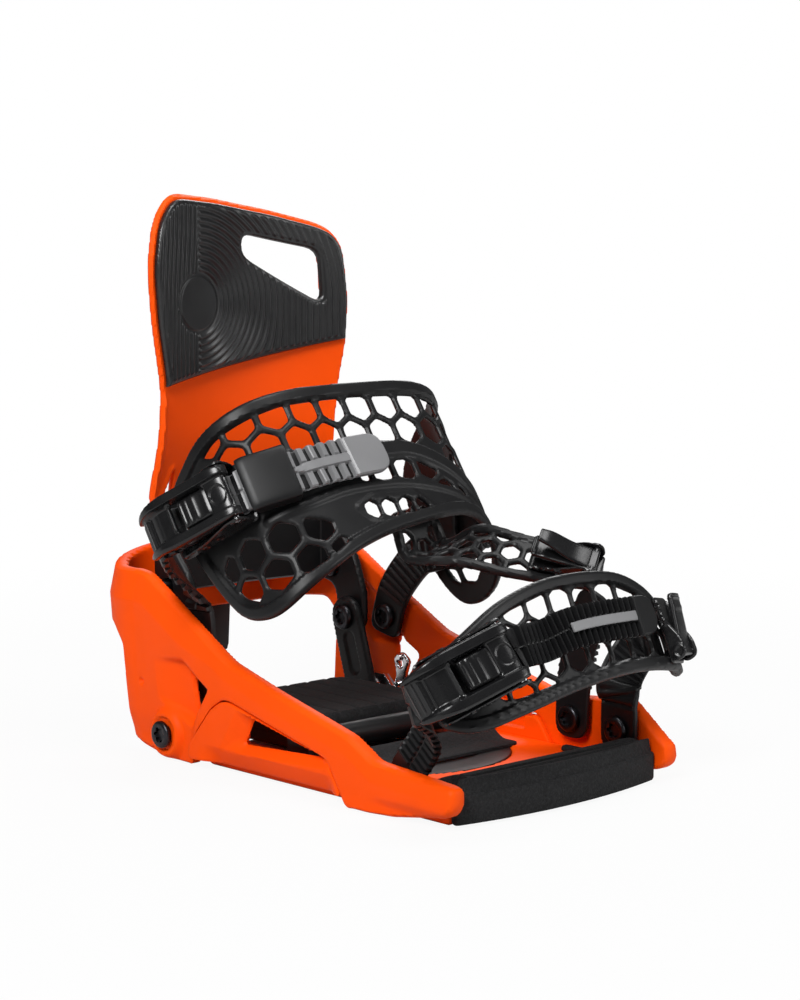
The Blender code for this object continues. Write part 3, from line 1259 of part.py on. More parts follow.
def buckle(prefix, frame, axis):
    """A ratchet buckle: base, pin, lever and the sprung trigger in the lever's window."""
    pin = (BUCKLE_PIN_SET, BUCKLE_PIN_HEIGHT)
    channel(prefix + "_buckle_base", frame, BUCKLE_LENGTH, BUCKLE_HALF_WIDTH, pin, BUCKLE_PIN_RADIUS, axis)
    half = BUCKLE_HALF_WIDTH - GAP
    start = frame.point(pin[0], -half, pin[1])
    make_object(prefix + "_buckle_pin", *rod(start, frame.second, BUCKLE_PIN_RADIUS, 2 * half), "steel", axis)
    origin = frame.point(pin[0], 0, pin[1])
    hole = circle(pin, BUCKLE_PIN_RADIUS + RUNNING_GAP, 10)
    tail = LEVER_TAIL
    profile = hub(pin, BUCKLE_HUB_RADIUS, -110, 80)
    level = BUCKLE_PIN_HEIGHT
    profile += [(0, level + 5.4 * MM), (-tail + 12 * MM, level + 6.4 * MM), (-tail + 2 * MM, level),
                (-tail, level - 5 * MM), (-tail + 2 * MM, level - 6 * MM),
                (-tail + 12 * MM, level + 2.4 * MM), (4 * MM, level + 1.6 * MM)]
    half = BUCKLE_HALF_WIDTH - BUCKLE_WALL - LEVER_PLAY
    verts, faces = plate(profile, [hole], frame.side, -half, half, 60 * MM)
    lever = make_object(prefix + "_buckle_lever", verts, faces, "black", origin)
    opening = half - LEVER_RAIL
    front = BUCKLE_LENGTH / 2
    back = -LEVER_WINDOW_END
    window = [(back, -opening), (front, -opening), (front, opening), (back, opening)]
    boolean(lever, tool(*plate(window, [], frame.floor, -MM, 40 * MM, 80 * MM)), "DIFFERENCE")
    tip = pin[0] - TRIGGER_LENGTH
    profile = hub(pin, BUCKLE_HUB_RADIUS, -110, 80)
    profile += [(pin[0] - 3 * MM, level + 4.4 * MM), (tip, level + 3.9 * MM), (tip, level - 2.6 * MM),
                (pin[0] - 9 * MM, level - MM)]
    half = opening - LEVER_PLAY
    verts, faces = plate(profile, [hole], frame.side, -half, half, 60 * MM)
    make_object(prefix + "_buckle_trigger", verts, faces, "black", origin)


def clamp(prefix, frame, length, axis):
    """A strap adjuster: a base whose cheeks carry a flip lever on trunnions of its own."""
    pin = (length / 2 - 4 * MM, CLAMP_PIN_HEIGHT)
    channel(prefix + "_base", frame, length, CLAMP_HALF_WIDTH, pin, CLAMP_PIN_RADIUS, axis)
    low = CLAMP_PIN_HEIGHT - CLAMP_LEVER / 2
    radius = CLAMP_PIN_RADIUS + MM
    profile = hub(pin, radius, -90, 90)
    profile += [(pin[0] - 5 * MM, low + CLAMP_LEVER), (-length / 2, low + CLAMP_LEVER + 2 * MM),
                (-length / 2, low + 2 * MM), (pin[0] - 6 * MM, low)]
    half = CLAMP_HALF_WIDTH - BUCKLE_WALL - LEVER_PLAY
    origin = frame.point(pin[0], 0, pin[1])
    verts, faces = plate(profile, [], frame.side, -half, half, 60 * MM)
    item = make_object(prefix + "_lever", verts, faces, "black", origin)
    reach = CLAMP_HALF_WIDTH - GAP
    trunnion = rod(frame.point(pin[0], -reach, pin[1]), frame.second, CLAMP_PIN_RADIUS, 2 * reach, 10)
    boolean(item, tool(*trunnion), "UNION")


def ladder(name, sweep, teeth_from, axis, anchor):
    """A toothed strap: a band whose outer face rises and falls tooth by tooth, with a hole for its bolt."""
    stations = []
    pitch = 2.4 * MM
    count = int(sweep.length / pitch)
    for index in range(count + 1):
        u = sweep.length * index / count
        toothed = u > teeth_from
        if not toothed and index % 3 and u < teeth_from - pitch:
            continue
        rise = LADDER_TOOTH if toothed and index % 2 else 0
        half = LADDER_THICKNESS / 2
        stations.append((*sweep.frame(u), LADDER_HALF_WIDTH, -half, half + rise))
    item = make_object(name, *ribbon(stations), "grey", axis)
    side = math.copysign(1.0, anchor[0])
    base = (anchor[0] + side * 4 * MM, anchor[1], anchor[2])
    pocket(item, base, (-side, 0, 0), ANCHOR_BOLT_RADIUS, 8 * MM)


def anchor_strap(name, sweep, half_width, hole_u, axis):
    end = sweep.length
    outline = rounded([(0, -half_width), (end, -half_width), (end, half_width), (0, half_width)], 6 * MM)
    hole = circle((hole_u, 0), ANCHOR_BOLT_RADIUS + RUNNING_GAP)
    half = ANCHOR_STRAP_THICKNESS / 2
    verts, faces = plate(outline, [hole], sweep.place, -half, half, 9 * MM)
    make_object(name, verts, faces, "black", axis)


ANCHOR_X = INNER_HALF - ANCHOR_INSET


def ankle_ladder():
    y, z = ANKLE_ANCHOR
    points = [(-ANCHOR_X, y, z - 9 * MM), (-ANCHOR_X, y, z), (-ANCHOR_X, y + MM, z + 15 * MM),
              (-ANCHOR_X - 3 * MM, y + MM, z + 23 * MM), (-ANCHOR_X - 11 * MM, y + MM, z + 32 * MM),
              (-ANCHOR_X - 22 * MM, y - 2 * MM, z + 42 * MM)]
    half = BUCKLE_LENGTH / 2
    points += [ANKLE_FRAME.point(half * share, 0, BUCKLE_LADDER_HEIGHT) for share in BUCKLE_SHARES]
    tail = ((-46, 5), (-36, 4), (-24, 3), (-12, 2), (0, 1))
    points += [ANKLE.place(s * MM, v * MM, LADDER_LIFT) for s, v in tail]
    sweep = Sweep(points, ((0, -1, -0.1), ANKLE.along), (-1, 0, 0), 0.36)
    ladder("ankle_ladder", sweep, 70 * MM, ANKLE_AXIS, (-ANCHOR_X, y, z))
    end = ANKLE_FRAME.point(half, 0, BUCKLE_LADDER_HEIGHT)
    keeper(sweep, sweep.length_at(end) + KEEPER_SET)


def toe_ladder():
    y, z = TOE_ANCHOR_NEAR
    points = [(-ANCHOR_X, y, z - TOE_LADDER_FOOT), (-ANCHOR_X, y, z), (-ANCHOR_X, y - MM, z + 20 * MM),
              (-ANCHOR_X - 2 * MM, y - 5 * MM, z + 31 * MM), (-ANCHOR_X - 11 * MM, y - 14 * MM, z + 36 * MM),
              (-ANCHOR_X - 20 * MM, y - 24 * MM, z + 38 * MM)]
    half = BUCKLE_LENGTH / 2
    points += [TOE_FRAME.point(half * share, 0, BUCKLE_LADDER_HEIGHT) for share in BUCKLE_SHARES]
    tail = ((-24, -1), (-8, -4), (10, -5), (30, -5), (46, -5))
    points += [TOE.place(s * MM, v * MM, LADDER_LIFT) for s, v in tail]
    sweep = Sweep(points, ((0, -1, -0.1), TOE.along), (-1, 0, 0), 0.24)
    ladder("toe_ladder", sweep, 24 * MM, TOE_AXIS, (-ANCHOR_X, y, z))


def far_straps():
    """The anchor straps of the inner side, each clamped to its strap by an adjuster."""
    y, z = ANKLE_ANCHOR
    lift = -4 * GAP - ANCHOR_STRAP_THICKNESS / 2
    points = [(ANCHOR_X, y + 2 * MM, z - 9 * MM), (ANCHOR_X, y, z), (ANCHOR_X, y - 4 * MM, z + 11 * MM)]
    points += [(ANCHOR_X + 1.5 * MM, y - 10 * MM, z + 21 * MM), (ANCHOR_X + 5 * MM, y - 18 * MM, z + 31 * MM)]
    points += [ANKLE.place(s * MM, v * MM, lift) for s, v in ((99, 28), (93, 19), (87, 10))]
    sweep = Sweep(points, ((0, -0.88, -0.47), (0, -0.75, -0.66)), (1, 0, 0))
    anchor_strap("ankle_anchor_strap", sweep, ANCHOR_STRAP_HALF_WIDTH, 9.2 * MM, ANKLE_AXIS)
    y, z = TOE_ANCHOR_FAR
    points = [(ANCHOR_X, y, z + rise * MM) for rise in (-9, -4, 0, 4, 9, 14)]
    points += [(ANCHOR_X + 2 * MM, y + 2 * MM, z + 20 * MM), (ANCHOR_X + 9 * MM, y + 4 * MM, z + 27 * MM)]
    points += [TOE.place(s * MM, 3 * MM, lift - 2 * GAP) for s in (87, 79, 72, 65, 58)]
    sweep = Sweep(points, ((0, -1, 0), TOE.along), (1, 0, 0), 0.6)
    anchor_strap("toe_anchor_strap", sweep, ANCHOR_STRAP_HALF_WIDTH, 9 * MM, TOE_AXIS)


def adjusters():
    lift = STRAP_THICKNESS + GAP
    origin = ANKLE.place(88 * MM, 20 * MM, lift)
    frame = Local(origin, ANKLE.along, ANKLE.place(88 * MM, 20 * MM, 2 * lift) - origin)
    clamp("ankle_adjuster", frame, ANKLE_CLAMP_LENGTH, ANKLE_AXIS)
    origin = TOE.place(61 * MM, 2 * MM, lift + 0.4 * GAP)
    frame = Local(origin, TOE.along, TOE.place(61 * MM, 2 * MM, 3 * lift) - origin)
    clamp("toe_adjuster", frame, TOE_CLAMP_LENGTH, TOE_AXIS)


def keeper(sweep, start):
    """A loop on the ankle strap that holds the ladder's free end down."""
    inner = LADDER_HALF_WIDTH + KEEPER_ROOM
    outer = inner + KEEPER_WALL
    low = -LADDER_THICKNESS / 2 - KEEPER_ROOM / 2
    high = LADDER_THICKNESS / 2 + LADDER_TOOTH + KEEPER_ROOM
    floor = low - KEEPER_FLOOR
    top = high + KEEPER_WALL
    outline = [(-outer, floor), (outer, floor), (outer, top), (-outer, top)]
    hole = [(-inner, low), (inner, low), (inner, high), (-inner, high)]

    def place(u, v, e):
        return sweep.place(e, u, v)

    verts, faces = plate(outline, [hole], place, start, start + KEEPER_LENGTH, 60 * MM)
    make_object("ankle_keeper", verts, faces, "black", ANKLE_AXIS)


ARM_POINTS = [ANKLE.place(s * MM, v * MM, -ARM_DROP) for s, v in ((13, 24), (14, 34), (16, 46))]
ARM_POINTS += [(22 * MM, -22 * MM, 100 * MM), (32 * MM, -40 * MM, 96.5 * MM), (46 * MM, -60 * MM, 92 * MM),
               (54 * MM, -72 * MM, 89.5 * MM)]


def front_arm():
    """A lattice arm from under the ankle strap forward to its hook over the front ladder."""
    sweep = Sweep(ARM_POINTS, ((1, 0, 0), ARM_TWIST), ANKLE.out, 0.7)
    length = sweep.length
    outline = [(0, -12), (0.3, -16), (0.6, -13), (1, -10), (1, 10), (0.6, 13), (0.3, 17), (0, 15)]
    outline = [(share * length, v * MM) for share, v in outline]
    if sum(a[0] * b[1] - b[0] * a[1] for a, b in zip(outline, outline[1:] + outline[:1])) < 0:
        outline.reverse()

    def open_zone(u, _):
        return 10 * MM < u < 0.74 * length

    cells = honeycomb(inset(outline, STRAP_RIM * 0.7), open_zone, ARM_COMB_PITCH, COMB_STRUT)
    verts, faces = plate(outline, cells, sweep.place, -STRAP_THICKNESS / 2, STRAP_THICKNESS / 2, 12 * MM)
    arm = make_object("ankle_front_arm", verts, faces, "black", ANKLE_AXIS)
    base = ANKLE.place(ARM_BOSS[0], ARM_BOSS[1], -ARM_DROP)
    boolean(arm, tool(*rod(base, ANKLE.out, ARM_BOSS_RADIUS, ARM_DROP - 1.5 * GAP)), "UNION")
    centre, _, normal = sweep.frame(length - CLAW_LENGTH / 2)
    ahead = sweep.frame(length)[0] - sweep.frame(length - CLAW_LENGTH)[0]
    frame = Local(centre + normal * (STRAP_THICKNESS / 2 + 2.5 * GAP), ahead, normal)
    clamp("front_claw", frame, CLAW_LENGTH, ANKLE_AXIS)


def front_ladder():
    y, z = FRONT_ANCHOR
    points = [(ANCHOR_X, y, z - 9 * MM), (ANCHOR_X, y, z), (ANCHOR_X, y - MM, z + 16 * MM),
              (ANCHOR_X, y - 5 * MM, z + 34 * MM), (ANCHOR_X - MM, y - 15 * MM, z + 58 * MM)]
    sweep = Sweep(points, ((0, -1, 0), (0, -0.93, -0.3)), (1, 0, 0))
    ladder("front_ladder", sweep, 30 * MM, (0, 0, 0), (ANCHOR_X, y, z))


def anchor_bolts():
    """Bolts that hold the five anchor ends to the inside of the frame."""
    places = [("ankle_anchor_bolt_outer", -1, ANKLE_ANCHOR), ("ankle_anchor_bolt_inner", 1, ANKLE_ANCHOR),
              ("toe_anchor_bolt_outer", -1, TOE_ANCHOR_NEAR), ("toe_anchor_bolt_inner", 1, TOE_ANCHOR_FAR),
              ("front_anchor_bolt", 1, FRONT_ANCHOR)]
    seat = INNER_HALF + ANCHOR_DEPTH - GAP
    length = seat - (ANCHOR_X - ANCHOR_STRAP_THICKNESS / 2 - GAP)
    for name, side, (y, z) in places:
        base = (side * seat, y, z)
        pieces = bolt(base, (-side, 0, 0), ANCHOR_BOLT_RADIUS, length, ANCHOR_HEAD_RADIUS, ANCHOR_HEAD)
        make_object(name, *pieces, "steel")


def main():
    clear_scene()
    hoop_frame()
    hoop_screws()
    base_plate()
    mounting_disc()
    footbed()
    toe_bumper()
    highback()
    highback_pad()
    highback_cradle()
    pivot_bolts()
    link_arms()
    heel_pedal()
    link_pins()
    latch()
    latch_spring()
    release_lever()
    ankle_strap()
    toe_strap()
    buckle("ankle", ANKLE_FRAME, ANKLE_AXIS)
    buckle("toe", TOE_FRAME, TOE_AXIS)
    ankle_ladder()
    toe_ladder()
    far_straps()
    adjusters()
    front_arm()
    front_ladder()
    anchor_bolts()


main()
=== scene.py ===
"""Looks of a step-in snowboard binding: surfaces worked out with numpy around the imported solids."""

import math

import bmesh
import bpy
import numpy as np
from bpy.props import FloatProperty, FloatVectorProperty, IntProperty, PointerProperty
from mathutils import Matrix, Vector


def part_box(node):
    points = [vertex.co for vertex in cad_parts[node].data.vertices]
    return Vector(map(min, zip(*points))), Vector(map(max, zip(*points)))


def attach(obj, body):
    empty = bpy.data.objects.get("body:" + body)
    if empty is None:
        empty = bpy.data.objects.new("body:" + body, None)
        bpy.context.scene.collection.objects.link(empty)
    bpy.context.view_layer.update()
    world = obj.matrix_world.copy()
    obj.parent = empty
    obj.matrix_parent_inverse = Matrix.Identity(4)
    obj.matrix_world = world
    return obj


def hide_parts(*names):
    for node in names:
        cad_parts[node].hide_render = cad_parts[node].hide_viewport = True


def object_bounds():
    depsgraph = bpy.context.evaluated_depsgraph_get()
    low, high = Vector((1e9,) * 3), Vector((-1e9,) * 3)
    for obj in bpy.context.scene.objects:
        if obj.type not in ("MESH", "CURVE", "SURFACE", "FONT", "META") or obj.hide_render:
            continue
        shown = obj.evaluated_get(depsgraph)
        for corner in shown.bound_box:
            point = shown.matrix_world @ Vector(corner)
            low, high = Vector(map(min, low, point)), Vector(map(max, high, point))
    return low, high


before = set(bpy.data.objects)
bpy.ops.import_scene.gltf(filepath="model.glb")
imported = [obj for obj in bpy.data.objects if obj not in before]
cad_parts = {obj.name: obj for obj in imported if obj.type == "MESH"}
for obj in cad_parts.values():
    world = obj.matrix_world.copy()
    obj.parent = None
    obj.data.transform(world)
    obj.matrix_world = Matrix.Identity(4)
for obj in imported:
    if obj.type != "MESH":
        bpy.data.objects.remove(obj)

CAD_BOX = [[float(c) for c in corner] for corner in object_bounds()]

bl_info = {
    "name": "Step-in Binding Looks",
    "version": (1, 0, 0),
    "blender": (4, 5, 0),
    "location": "View3D > Sidebar > Binding",
    "description": "Builds the shown surfaces of a step-in binding around its solids",
    "category": "Object",
}

MM = 0.001
WELD = 2e-6
GAP = 0.3


# Numbers shared with the solids, in millimetres; places on a side are (y, z)

HALF_WIDTH = 70.0
RAIL_WALL = 9.0
HEEL_Y = 140.0
HEEL_RADIUS = 35.0
CORNER_START = HALF_WIDTH - HEEL_RADIUS
CORNER_END = CORNER_START + math.pi / 2 * HEEL_RADIUS
SIDE_START_Y = HEEL_Y - HEEL_RADIUS
HEEL_FLARE = 3.5
FLOOR_HALF = HALF_WIDTH - RAIL_WALL - GAP
STRAP_THICKNESS = 3.0
LADDER_HALF = 9.6
LADDER_HALF_THICK = 1.3
LADDER_TOOTH = 1.3
ANCHOR_X = HALF_WIDTH - RAIL_WALL - 3.5
HOOP_SCREW = (83.0, 12.0)
LINK_TOP = (87.0, 53.0)
LINK_FOOT = (76.0, 18.0)
HIGHBACK_PIVOT = (101.0, 76.0)
RELEASE_AXIS = (145.0, 66.0)
LATCH_AXIS = (57.0, 13.0)
LUG_RADIUS = 4.5
BOLT_EYE = 3.6
PIN_EYE = 4.8
DISC_HOLE = 50.4
BUCKLE_LENGTH = 40.0
BUCKLE_HALF = 14.6
BUCKLE_PIN_HALF = 14.3
LADDER_IN_BUCKLE = 3.5
LADDER_OVER_STRAP = 7.0
SEAM = [(-41, 0), (-31, 15.6), (-28, 19), (35, 34), (41, 34), (49, 28.9), (65, 10.5), (66, 0)]


# Small array tools

def smooth(value):
    """Rises from 0 to 1 with level ends: 3t^2 - 2t^3."""
    t = np.clip(value, 0.0, 1.0)
    return t * t * (3 - 2 * t)


def rounding(distance, radius):
    """Set-back of a rounded edge: radius minus the height of a quarter circle at that distance."""
    inside = np.clip(radius - distance, 0.0, radius)
    return radius - np.sqrt(np.maximum(radius ** 2 - inside ** 2, 0.0))


def unit(vectors):
    """Vectors of length 1 in the same directions."""
    vectors = np.asarray(vectors, float)
    return vectors / np.linalg.norm(vectors, axis=-1, keepdims=True)


def circle(count):
    """Even angles once round."""
    return np.linspace(0, 2 * math.pi, count, endpoint=False)


def bulged(value, power):
    """A power that keeps the sign."""
    return np.sign(value) * np.abs(value) ** power


def curve_through(points, count, closed=False):
    """Points read evenly along a Catmull-Rom curve through the given ones."""
    points = np.asarray(points, float)
    if closed:
        padded = np.concatenate([points[-1:], points, points[:2]])
    else:
        padded = np.concatenate([2 * points[:1] - points[1:2], points, 2 * points[-1:] - points[-2:-1]])
    spans = len(padded) - 3
    at = np.linspace(0, spans, count, endpoint=not closed)
    span = np.minimum(at.astype(int), spans - 1)
    t = (at - span)[:, None]
    p0, p1, p2, p3 = (padded[span + shift] for shift in range(4))
    square, cube = 2 * p0 - 5 * p1 + 4 * p2 - p3, 3 * p1 - p0 - 3 * p2 + p3
    return 0.5 * (2 * p1 + (p2 - p0) * t + square * t ** 2 + cube * t ** 3)


def soft_corners(loop, radius, steps=5):
    """A loop whose corners are replaced by quadratic arcs that start a radius away, or less on short edges."""
    loop = np.asarray(loop, float)
    before = np.roll(loop, 1, 0) - loop
    after = np.roll(loop, -1, 0) - loop
    reach_in = np.minimum(radius, 0.45 * np.linalg.norm(before, axis=1))[:, None]
    reach_out = np.minimum(radius, 0.45 * np.linalg.norm(after, axis=1))[:, None]
    start = loop + unit(before) * reach_in
    end = loop + unit(after) * reach_out
    t = np.linspace(0, 1, steps)[None, :, None]
    arcs = start[:, None] * (1 - t) ** 2 + 2 * loop[:, None] * t * (1 - t) + end[:, None] * t ** 2
    return arcs.reshape(-1, 2)


def rectangle(u0, u1, v0, v1):
    """A four-sided loop from its limits."""
    return [(u0, v0), (u1, v0), (u1, v1), (u0, v1)]


def chain_distance(u, v, chain):
    """Least distance from each point to an open chain of straight pieces."""
    chain = np.asarray(chain, float)
    best = np.full(u.shape, 1e9)
    for (u0, v0), (u1, v1) in zip(chain[:-1], chain[1:]):
        du, dv = u1 - u0, v1 - v0
        t = np.clip(((u - u0) * du + (v - v0) * dv) / max(du * du + dv * dv, 1e-12), 0, 1)
        best = np.minimum(best, np.hypot(u - u0 - t * du, v - v0 - t * dv))
    return best


def loop_distance(u, v, loop):
    """Distance to a closed loop, positive inside it by the even-odd rule."""
    loop = np.asarray(loop, float)
    best = chain_distance(u, v, np.concatenate([loop, loop[:1]]))
    inside = np.zeros(u.shape, bool)
    for (u0, v0), (u1, v1) in zip(loop, np.roll(loop, -1, 0)):
        if v0 != v1:
            inside ^= ((v0 > v) != (v1 > v)) & (u < u0 + (v - v0) * (u1 - u0) / (v1 - v0))
    return np.where(inside, best, -best)


def within(loop, *holes):
    """A distance function: inside a closed loop and outside the holes in it."""
    def distance(u, v):
        best = loop_distance(u, v, loop)
        for hole in holes:
            best = np.minimum(best, -loop_distance(u, v, hole))
        return best
    return distance


HEX_CORNER = 12.0


def hexagons(u, v, pitch, strut):
    """For a staggered comb: each point's nearest cell centre and its distance outside that cell.
    The cell is a hexagon whose three pairs of sides are joined by a high power, which rounds its corners."""
    row_height = pitch * math.cos(math.pi / 6)
    best = np.full(u.shape, 1e9)
    centre_u = np.zeros(u.shape)
    centre_v = np.zeros(u.shape)
    base_row = np.floor(v / row_height)
    for step in (0, 1):
        row = base_row + step
        shift = np.where(row % 2 > 0.5, pitch / 2, 0.0)
        cu = np.round((u - shift) / pitch) * pitch + shift
        cv = row * row_height
        gap = np.hypot(u - cu, v - cv)
        nearer = gap < best
        best = np.where(nearer, gap, best)
        centre_u = np.where(nearer, cu, centre_u)
        centre_v = np.where(nearer, cv, centre_v)
    du, dv = u - centre_u, v - centre_v
    half = math.sqrt(3) / 2
    sides = [np.abs(du), np.abs(du / 2 + dv * half), np.abs(du / 2 - dv * half)]
    reach = sum(side ** HEX_CORNER for side in sides) ** (1 / HEX_CORNER)
    return centre_u, centre_v, reach - (pitch - strut) / 2


# Surfaces

def relief(extent, cell, distance, place, outer, inner):
    """A plate with a free outline: a grid of (u, v) is kept where distance is positive, points close to the
    border are moved onto it along the slope of distance, and two skins at heights outer and inner are joined
    by walls along the border."""
    (u0, u1), (v0, v1) = extent
    nu = max(int(round((u1 - u0) / cell[0])), 2) + 1
    nv = max(int(round((v1 - v0) / cell[1])), 2) + 1
    u, v = np.meshgrid(np.linspace(u0, u1, nu), np.linspace(v0, v1, nv), indexing="ij")
    true = distance(u, v)
    slope_u, slope_v = np.gradient(true, (u1 - u0) / (nu - 1), (v1 - v0) / (nv - 1))
    size = np.maximum(np.hypot(slope_u, slope_v), 0.3)
    small = min(cell)
    near = np.abs(true) < 0.6 * small
    move = np.clip(np.where(near, true / size, 0.0), -0.75 * small, 0.75 * small)
    u = u - move * slope_u / size
    v = v - move * slope_v / size
    flat = np.where(near, 0.0, true)
    kept = (flat >= 0).ravel()
    index = np.arange(nu * nv).reshape(nu, nv)
    corners = np.stack([index[:-1, :-1], index[1:, :-1], index[1:, 1:], index[:-1, 1:]], -1).reshape(-1, 4)
    have = kept[corners]
    count = have.sum(1)
    level = true.ravel()

    def inside(faces):
        return faces[(flat.ravel()[faces] > 0).any(1) | (level[faces].mean(1) > 0)]

    quads = inside(corners[count == 4])
    missing = np.argmin(have[count == 3], 1)
    order = (missing[:, None] + np.array([1, 2, 3])) % 4
    tris = inside(np.take_along_axis(corners[count == 3], order, 1))
    used, inverse = np.unique(np.concatenate([quads.ravel(), tris.ravel()]), return_inverse=True)
    quads, tris = inverse[:quads.size].reshape(-1, 4), inverse[quads.size:].reshape(-1, 3)
    fu, fv, fd = u.ravel()[used], v.ravel()[used], np.maximum(flat.ravel()[used], 0.0)
    verts = np.concatenate([place(fu, fv, outer(fu, fv, fd)), place(fu, fv, inner(fu, fv, fd))])
    half = len(used)
    edges = np.concatenate([np.stack([part, np.roll(part, -1, 1)], 2).reshape(-1, 2) for part in (quads, tris)])
    keys = np.sort(edges, 1)
    keys = keys[:, 0] * half + keys[:, 1]
    _, back, times = np.unique(keys, return_inverse=True, return_counts=True)
    open_edges = edges[times[back] == 1]
    start, end = open_edges.T
    walls = np.stack([end, start, start + half, end + half], 1)
    return verts, [quads, tris, quads[:, ::-1] + half, tris[:, ::-1] + half, walls]


def slab(loop, extent, cell, place, radius, thickness):
    """A flat plate whose two faces have the same rounded edge."""
    return relief(extent, cell, within(loop), place,
                  lambda u, v, d: rounding(d, radius), lambda u, v, d: thickness - rounding(d, radius))


def grid_faces(rows, columns, closed_rows=False):
    """Four-sided faces of a grid whose columns close on themselves."""
    index = np.arange(rows * columns).reshape(rows, columns)
    following = np.roll(index, -1, 1)
    upper, lower = index[:-1], index[1:]
    upper_next, lower_next = following[:-1], following[1:]
    faces = np.stack([upper, lower, lower_next, upper_next], -1).reshape(-1, 4)
    if closed_rows:
        seam = np.stack([index[-1], index[0], following[0], following[-1]], -1)
        faces = np.concatenate([faces, seam])
    return faces


def capped(verts):
    """Rings of points joined by faces, with a flat face over the first and the last ring."""
    rows, sides = verts.shape[:2]
    first = np.arange(sides)
    caps = [first[None], (first + (rows - 1) * sides)[None, ::-1]]
    return verts.reshape(-1, 3), [grid_faces(rows, sides)] + caps


def lathe(profile, base, axis, sides=48):
    """A profile of (radius, height) turned round an axis; a third number makes the ring a six-lobed one."""
    profile = np.array([(*row, 0.0)[:3] for row in profile], float)
    axis = unit(axis)
    helper = np.array([0.0, 0.0, 1.0]) if abs(axis[2]) < 0.9 else np.array([1.0, 0.0, 0.0])
    first = unit(np.cross(helper, axis))
    second = np.cross(axis, first)
    turn = circle(sides)
    radius = profile[:, :1] * (1 + profile[:, 2:3] * np.cos(6 * turn)[None])
    return capped(np.asarray(base, float) + profile[:, 1, None, None] * axis
                  + (radius * np.cos(turn))[..., None] * first + (radius * np.sin(turn))[..., None] * second)


def loft(path, second, third, half_width, half_thick, power=3.5, around=28, ends=1.0):
    """A bar along a path: superellipse sections |a|^p + |b|^p = 1, drawn in to a round at both ends."""
    path = np.asarray(path, float)
    rows = len(path)
    second = np.broadcast_to(unit(second), (rows, 3))
    third = np.broadcast_to(unit(third), (rows, 3))
    half_width = np.broadcast_to(np.asarray(half_width, float), (rows,))
    half_thick = np.broadcast_to(np.asarray(half_thick, float), (rows,))
    steps = np.sin(np.linspace(0, math.pi / 2, 5))[:-1]
    drop = 1 - np.sqrt(1 - (1 - steps) ** 2)
    ahead = unit(path[1] - path[0])
    behind = unit(path[-1] - path[-2])
    order = np.concatenate([np.zeros(4, int), np.arange(rows), np.full(4, rows - 1)])
    shrink = np.concatenate([ends * drop, np.zeros(rows), ends * drop[::-1]])
    push = np.concatenate([-ends * (1 - steps)[:, None] * ahead, np.zeros((rows, 3)),
                           ends * (1 - steps)[::-1, None] * behind])
    turn = circle(around)
    wide = np.maximum(half_width[order] - shrink, 0.2)[:, None] * bulged(np.cos(turn), 2 / power)
    tall = np.maximum(half_thick[order] - shrink, 0.2)[:, None] * bulged(np.sin(turn), 2 / power)
    return capped((path[order] + push)[:, None] + wide[..., None] * second[order][:, None]
                  + tall[..., None] * third[order][:, None])


def tube(path, radius, around=12):
    """A round wire: circles square to a path, turned with it so that they never twist."""
    path = np.asarray(path, float)
    ahead = unit(np.gradient(path, axis=0))
    helper = np.array([1.0, 0.0, 0.0])
    second = unit(helper - ahead * (ahead @ helper)[:, None])
    third = np.cross(ahead, second)
    turn = circle(around)[:, None]
    return capped(path[:, None] + radius * (np.cos(turn) * second[:, None] + np.sin(turn) * third[:, None]))


def joined(*meshes):
    """Several meshes as one."""
    verts, faces, shift = [], [], 0
    for points, parts in meshes:
        verts.append(points)
        faces += [part + shift for part in parts]
        shift += len(points)
    return np.concatenate(verts), faces


def placed(name, mesh, finish, body, nodes):
    """Puts a mesh in place of CAD nodes and lets it ride on their body."""
    mesh.polygons.foreach_set("use_smooth", np.ones(len(mesh.polygons), bool))
    mesh.materials.clear()
    mesh.materials.append(finish)
    item = bpy.data.objects.new(name, mesh)
    bpy.context.scene.collection.objects.link(item)
    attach(item, body)
    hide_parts(*nodes)
    return item


def piece(name, mesh_data, finish, body, nodes, sharp=40.0):
    """A piece from worked-out points and faces; edges sharper than an angle stay crisp."""
    verts, faces = mesh_data
    mesh = bpy.data.meshes.new(name)
    mesh.from_pydata((verts * MM).tolist(), [], [face for part in faces for face in part.tolist()])
    work = bmesh.new()
    work.from_mesh(mesh)
    bmesh.ops.remove_doubles(work, verts=work.verts, dist=WELD)
    bmesh.ops.recalc_face_normals(work, faces=work.faces)
    work.to_mesh(mesh)
    work.free()
    item = placed(name, mesh, finish, body, nodes)
    mesh.set_sharp_from_angle(angle=math.radians(sharp))
    return item


def softened(node, name, finish, body, width):
    """A copy of a CAD node with its flat faces merged and its edges rounded."""
    work = bmesh.new()
    work.from_mesh(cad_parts[node].data)
    bmesh.ops.remove_doubles(work, verts=work.verts, dist=WELD)
    bmesh.ops.dissolve_limit(work, angle_limit=math.radians(1.0), verts=work.verts, edges=work.edges)
    mesh = bpy.data.meshes.new(name)
    work.to_mesh(mesh)
    work.free()
    item = placed(name, mesh, finish, body, (node,))
    bevel = item.modifiers.new("rounded edges", "BEVEL")
    bevel.width = width * MM
    bevel.segments = 3
    bevel.limit_method = "ANGLE"
    bevel.angle_limit = math.radians(28)
    bevel.harden_normals = True
    return item


# Places: where a flat shape lies in space

def along_side(y):
    """The hoop's plan length at a place y on its straight side."""
    return CORNER_END + SIDE_START_Y - np.asarray(y, float)


